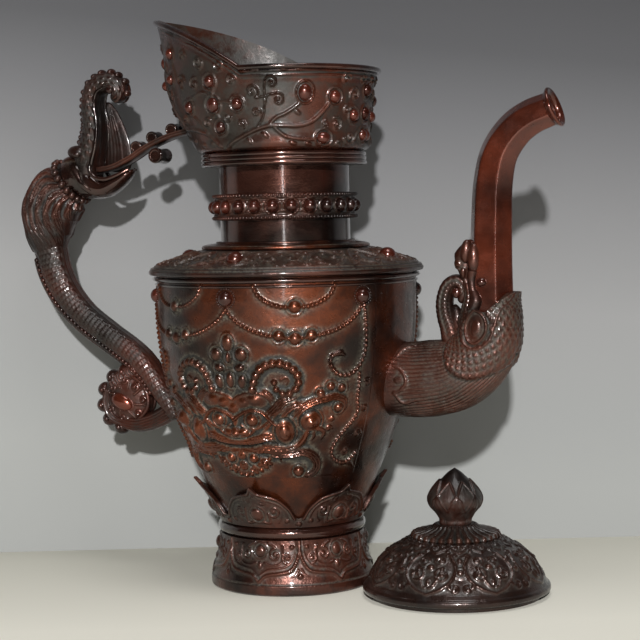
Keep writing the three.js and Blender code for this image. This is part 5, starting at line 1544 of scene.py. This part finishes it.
trunkBar = Bar(trunk["path"], trunk["thick"], trunk["wide"])
trunkCoat = trunkBar.relief(0.32)
for row in range(20):
    for angle in (34, 60, 86):
        trunkCoat.scale(angle + 13 * (row % 2), 9 + row * 2.9, 1.9, 2.6, 1.1, 1)
trunkCoat.stroke([(112, up) for up in np.linspace(6, trunkBar.length - 9, 10)], 0.4, 0.5)
trunkCoat.close(mirror=0)
trunkBar.piece("head_trunk", "dragon", "dark_copper", 160, 200, trunkCoat, section=channel, ends=(2, 2.4),
               stands=["handle_trunk"])
spots = []
for along in np.linspace(17, trunkBar.length - 6, 17):
    x, y, z = trunkBar.point(0, along, 0.2)
    width = np.interp(along, [17, 45, trunkBar.length - 6], [5.2, 4.6, 2.6])
    middle = trunkBar.at(along)
    spots.append(((x, 0, z), (x - middle[0], 0, z - middle[1]), (width, 2.0, 2.0)))
studs("trunk_scallops", spots, "dragon", "dark_copper")
edgeLine = []
for along in np.linspace(trunkBar.length - 16, 6, 9):
    x, y, z = trunkBar.point(trunk["edge"], along, 0.2, channel)
    edgeLine.append((x, z, y))
for name, side in (("head_rim_front", -1), ("head_rim_rear", 1)):
    cordPiece(name, [(x, side * y, z) for x, z, y in [*edgeLine, *head["mouth"]]],
              [0.5, 0.9, 1.1, 1.2, 1.2, 1.1, 0.8],
              "polished", "copper", rows=140)
# The far wall of the upper jaw, ribbed inside, that flares from the channel
cheek = Bar([(-104.6, 245), (-102.4, 238), (-100.6, 230), (-99.4, 222), (-99.4, 214), (-100, 208)],
            [1.4, 4.4, 6.4, 8, 9, 7], [0.9, 1.3, 1.5, 1.5, 1.4, 1.1])
cheekCoat = cheek.relief(0.3)
for angle in (70, 83, 97, 112, 128):
    cheekCoat.stroke([(angle, up) for up in np.linspace(2, cheek.length - 2, 8)], 0.6, 0.28, (0.5, 1, 1, 0.6))
cheekCoat.close(mirror=0)
piece = cheek.piece("head_cheek", "dragon", "dark_copper", 90, 90, cheekCoat, ends=(2, 3))
piece.data.transform(Matrix.Translation((0, 6.8 * mm, 0)))
studs("trunk_tip", [((-96.4, side * 4.4, 250.4), (0, side, 0), (2.2, 2.2, 1.6)) for side in (-1, 1)],
      slot="dark_copper")

# Tongue: a band from the mouth to the cup, with knobs on top and a roll beneath
tongue = {
    "path": [(-106.8, 209.4), (-97, 210.6), (-86, 215), (-76, 220.4), (-64, 225), (-52, 227.6)],
    "thick": [1.7],
    "wide": [4.4],
    "knobs": [(-82.4, 220.4), (-73, 225), (-61.6, 228.6)],
    "roll": (-70, 215.6),
}
tongueBar = Bar(tongue["path"], tongue["thick"], tongue["wide"])
tongueCoat = tongueBar.relief(0.3)
for angle in (62, 118):
    tongueCoat.stroke([(angle, up) for up in np.linspace(1, tongueBar.length - 1, 10)], 0.55, 0.7)
tongueCoat.close(mirror=0)
tongueBar.piece("tongue_band", "relief", "copper", 72, 110, tongueCoat, ends=(1, 0.1),
                stands=["handle_tongue"])


def scrollRoll(name, place, radius, half, stands):
    # A roll across the band, hollowed at its ends
    wall = rounded([(radius * 0.55, -half + 0.9), (radius * 0.62, -half), (radius * 0.95, -half),
                    (radius, -half + 1.2),
                    (radius * 0.9, 0), (radius, half - 1.2), (radius * 0.95, half), (radius * 0.62, half),
                    (radius * 0.55, half - 0.9)], 0.4, 3)
    piece = turnedPiece(name, [(0, -half + 0.9), *wall, (0, half - 0.9)], [], "polished", "copper", 40,
                        stands=stands)
    turn = Matrix.Rotation(math.radians(90), 4, "X")
    piece.data.transform(Matrix.Translation(Vector((place[0], 0, place[1])) * mm) @ turn)


for number, place in enumerate(tongue["knobs"]):
    scrollRoll(f"tongue_scroll_{number + 1}", place, 3.2, 4, [f"tongue_knob_{number + 1}"])
scrollRoll("tongue_scroll_low", tongue["roll"], 4.0, 6, ["tongue_roll"])

# Tail: a domed leaf that curls under the handle, with a stone at its heart and balls round its edge
tail = {
    "path": [(-82, 109.6), (-88, 105), (-94.6, 101), (-101, 95.8), (-103.4, 88.4), (-100.8, 81.2),
             (-94.4, 77.8),
             (-85.6, 76.8), (-76, 79.4), (-68, 83.4), (-60, 88.6)],
    "thick": [4.6, 4.4, 4.2, 4.0, 4.0, 4.0, 4.2, 4.6, 4.8, 5.0, 5.4],
    "wide": [5.2, 5.4, 5.4, 5.2, 5.0, 5.0, 5.0, 5.2, 5.2, 5.2, 5.4],
    "heart": (-92.4, 90),
    "leaf": [(0, -5.6), (4, -5.5), (8, -4.9), (11, -3.8), (13.2, -2), (13.9, 0)],
    "lobes": [(-94, 104), (-101, 101), (-106.2, 94.4), (-107, 86.2), (-103.8, 79), (-96.8, 74.8)],
    "rings": [(-92.2, 99.8), (-86, 96.4), (-99.6, 95.6), (-101.2, 84), (-84.6, 82.6), (-94.4, 79.6),
              (-81.4, 89.6)],
    "edge": [(-100.5, 102.4), (-91.6, 103), (-84, 99), (-79.6, 92.6), (-79.6, 86), (-84.2, 80.4), (-91.4, 77),
             (-99.4, 78.6), (-104, 84)],
    "stone": (-93.8, 88.4),
}
tailBar = Bar(tail["path"], tail["thick"], tail["wide"])
tailCoat = tailBar.relief(0.32)
for offset, high in ((56, 0.6), (74, 0.8), (92, 0.9), (110, 0.8), (128, 0.6)):
    tailCoat.stroke([(offset, up) for up in np.linspace(26, tailBar.length - 1, 9)], 0.6, high)
for i in range(12):
    tailCoat.stroke([(30, 1 + i * 1.8), (90, 2 + i * 1.8), (150, 1 + i * 1.8)], 0.6, 1.0)
tailCoat.close(mirror=0)
tailBar.piece("tail_ribbon", "dragon", "dark_copper", 110, 200, tailCoat, ends=(2, 1.5), stands=["tail_curl"])
leafLine = [(0, 0), (4, 4), (8.2, 8), (11.3, 11), (14, 13.2), (15.8, 13.9)]
leafLine += [(31.6 - reach, radius) for reach, radius in leafLine[-2::-1]]
leafRelief = Relief(32, lambda up: np.maximum(np.interp(up, *zip(*leafLine)), 2), 0.3)
for low, side in ((10.8, 1), (20.8, -1)):
    for i in range(8):
        leafRelief.spiral(i * 45, low, 2.1, 90 * side, 1.4, 0.5, 0.9)
        leafRelief.stroke([(i * 45 + 22, low - side * 5), (i * 45 + 30, low),
                           (i * 45 + 22, low + side * 3.4)], 0.6, 0.9)
    leafRelief.stroke([(angle, low + side * 2.9) for angle in range(0, 361, 12)], 0.5, 0.6)
leafRelief.close()
leafRelief.hollow = np.maximum(leafRelief.hollow, 0.38)
leafPlace = Matrix.Translation(Vector((tail["heart"][0], 0, tail["heart"][1])) * mm) @ Matrix.Rotation(
    math.radians(90), 4, "X")
leaf = [*tail["leaf"], *[(radius, -up) for radius, up in tail["leaf"][-2::-1]]]
piece = turnedPiece("tail_leaf", rounded(leaf, 2, 4), [], "dragon", "dark_copper", 220, 96, leafRelief)
piece.data.transform(leafPlace)
studs("tail_lobes", [((x, 0, z), (0, -1, 0), (4.0, 4.0, 5.2)) for x, z in tail["lobes"]], "dragon",
      "dark_copper")
for name, side in (("front", -1), ("rear", 1)):
    bosses = []
    for x, z in tail["rings"]:
        away = math.hypot(x - tail["heart"][0], z - tail["heart"][1])
        out = np.interp(away, [radius for radius, up in tail["leaf"]], [-up for radius, up in tail["leaf"]])
        lean = (x - tail["heart"][0]) / 30, side, (z - tail["heart"][1]) / 30
        bosses.append(((x, side * (out + 0.1), z), lean, (2.5, 2.5, 0.9)))
        bosses.append(((x, side * (out + 0.6), z), lean, (1.5, 1.5, 1.7)))
    for x, z in tail["lobes"]:
        bosses.append(((x, side * 4.2, z), (0, side, 0), (1.7, 1.7, 1.9)))
    studs(f"tail_rings_{name}", bosses, "dragon", "dark_copper")
    cordPiece(f"tail_edge_{name}", [(x, side * 3.6, z) for x, z in tail["edge"]],
              [0.5, 1.0, 1.1, 1.1, 1.0, 0.5],
              "dragon", "dark_copper")
    stone = studs(f"tail_stone_{name}", [((0, side * 5, 0), (0, side, 0), (6.6, 4.2, 3.0))], "tube",
                  "red_copper",
                  segments=40, rings=24, stands=[f"tail_boss_{name}"])
    setting = studs(f"tail_setting_{name}", [((0, side * 4.6, 0), (0, side, 0), (7.8, 5.3, 1.6))], "dragon",
                    "dark_copper",
                    40, 24)
    for piece in (stone, setting):
        piece.data.transform(Matrix.Translation(Vector((tail["stone"][0], 0, tail["stone"][1])) * mm)
                             @ Matrix.Rotation(math.radians(22), 4, "Y"))
print("handle made")

# Lid: a chased dome with a flat rim, a fluted collar and a lotus bud
lid = {
    "place": (89, -5),
    "wall": [(41.5, 2.5), (45.2, 2.5), (45.2, 5.4), (43.2, 6.6), (41, 11), (36.8, 17.5), (30.4, 23.2),
             (24, 26.6),
             (21.4, 27.8), (4, 27.8)],
    "inside": [(4, 26.3), (19.9, 26.3), (28.9, 22.4), (35.3, 16.7), (39.5, 10.2), (41.5, 5.6)],
    "collar": [(4, 28.1), (20.4, 28.1), (20.6, 29.2), (15.4, 30.4), (11.2, 32.2), (9, 34.3), (4, 34.3)],
    "bud": [(3.7, 25.3), (3.7, 34.4), (7, 34.4), (6.7, 37), (8.8, 40), (12, 43.4), (12.9, 46.6), (11.4, 50),
            (7.4, 55),
            (3, 59.4), (0, 61.2)],
}
lidMove = Matrix.Translation(Vector((*lid["place"], 0)) * mm)
lidRelief = Relief(62, lambda up: np.clip(55 - up, 20, 45.5), 0.4)
for petal in range(8):
    middle = petal * 45
    for side in (-1, 1):
        lidRelief.stroke([(middle, 10), (middle + side * 9, 12.6), (middle + side * 17, 18),
                          (middle + side * 19, 25),
                          (middle + side * 14, 31)], 0.7, 0.9)
        lidRelief.spiral(middle + side * 9.4, 19.4, 3.6, 90, side * 1.6, 0.65, 0.9,
                         tail=[(middle + side * 1, 13), (middle + side * 4, 14.4)])
        lidRelief.spiral(middle + side * 7, 27.4, 2.6, -90, -side * 1.4, 0.55, 0.8)
        lidRelief.spiral(middle + 22.5 + side * 4.4, 12.6, 2.2, 90, side * 1.3, 0.5, 0.7)
        lidRelief.spiral(middle + 22.5 + side * 6.4, 31, 2.0, 200, side * 1.3, 0.5, 0.7)
        lidRelief.dome(middle + side * 14.4, 13.8, 1.1, 1.7, 0.8, side * 30)
    lidRelief.boss(middle, 23.4, 2.0, high=1.6)
    lidRelief.boss(middle + 22.5, 20.8, 1.7, high=1.3)
    lidRelief.dome(middle, 15.6, 1.1, 1.8, 0.9)
    lidRelief.dome(middle + 22.5, 27.4, 1.3, 2.0, 0.9)
for i in range(16):
    turn = i * 22.5
    for side in (-1, 1):
        lidRelief.spiral(turn + side * 6, 36.4, 2.0, 90 - 90 * side, side * 1.4, 0.5, 0.75,
                         tail=[(turn, 32.4)])
    lidRelief.dome(turn, 38.4, 0.9, 1.6, 0.8)
    lidRelief.dome(turn + 11.25, 39.4, 1.0, 1.2, 0.8)
    lidRelief.dome(turn + 11.25, 34.0, 0.9, 1.4, 0.7)
for up in (8.4, 9.4):
    lidRelief.stroke([(angle, up) for angle in range(0, 361, 6)], 0.4, 0.4)
lidRelief.close()
piece = turnedPiece("lid_shell", rounded(lid["wall"], 1.1, 4), lid["inside"], "lid", "dark_copper", 480, 120,
                    lidRelief,
                    body="lid", stands=["lid_dome"])
piece.data.transform(lidMove)
piece = turnedPiece("lid_skirt", [(39.8, 0), (41.4, 0), (41.4, 2.2), (39.8, 2.2)], [], "lid", "dark_copper",
                    160,
                    body="lid", stands=["lid_spigot"])
piece.data.transform(lidMove)
fluted = Relief(32, lambda up: np.clip(36 - up, 6, 20), 0.3)
for i in range(30):
    fluted.stroke([(i * 12, 17.4), (i * 12, 24), (i * 12, 29)], 1.3, 1.3, (1.2, 1, 0.7))
    fluted.dome(i * 12, 17, 1.7, 1.5, 1.4)
fluted.close()
piece = turnedPiece("lid_flutes", rounded(lid["collar"], 0.7, 4), [], "lid", "dark_copper", 320, 60, fluted,
                    body="lid",
                    stands=["knob_collar"])
piece.data.transform(lidMove)
bud = Relief(48, lambda up: np.interp(up, [0, 9, 14, 20, 26, 33, 40, 46], [4, 4, 7, 11, 13, 9, 4, 2]), 0.28)
for i in range(8):
    for row, (low, high, turn, wide) in enumerate([(13, 24, 0, 3.6), (17.6, 31, 22.5, 4.4),
                                                   (24, 39, 0, 4.2)]):
        middle = i * 45 + turn
        bud.dome(middle, (low + high) / 2 - 1, wide, (high - low) / 1.8, 1.3 - row * 0.4)
        for side in (-1, 1):
            width = 21
            bud.stroke([(middle + side * width * 0.7, low), (middle + side * width, low + 0.4 * (high - low)),
                        (middle + side * width * 0.5, low + 0.8 * (high - low)), (middle, high)], 0.5, 1.0)
            for share in (0.2, 0.4, 0.6):
                bud.stroke([(middle + side * width * share, low),
                            (middle + side * width * share * 1.3, low + 0.4 * (high - low)),
                            (middle, low + 0.9 * (high - low))], 0.3, 0.6)
bud.close()
piece = turnedPiece("lid_bud", np.vstack([[(0, 25.3)], rounded(lid["bud"], 2.4, 5)]), [], "dragon", "copper",
                    200, 130,
                    bud, body="lid", stands=["lid_knob"])
piece.data.transform(lidMove)
print("lid made")

print("all made")
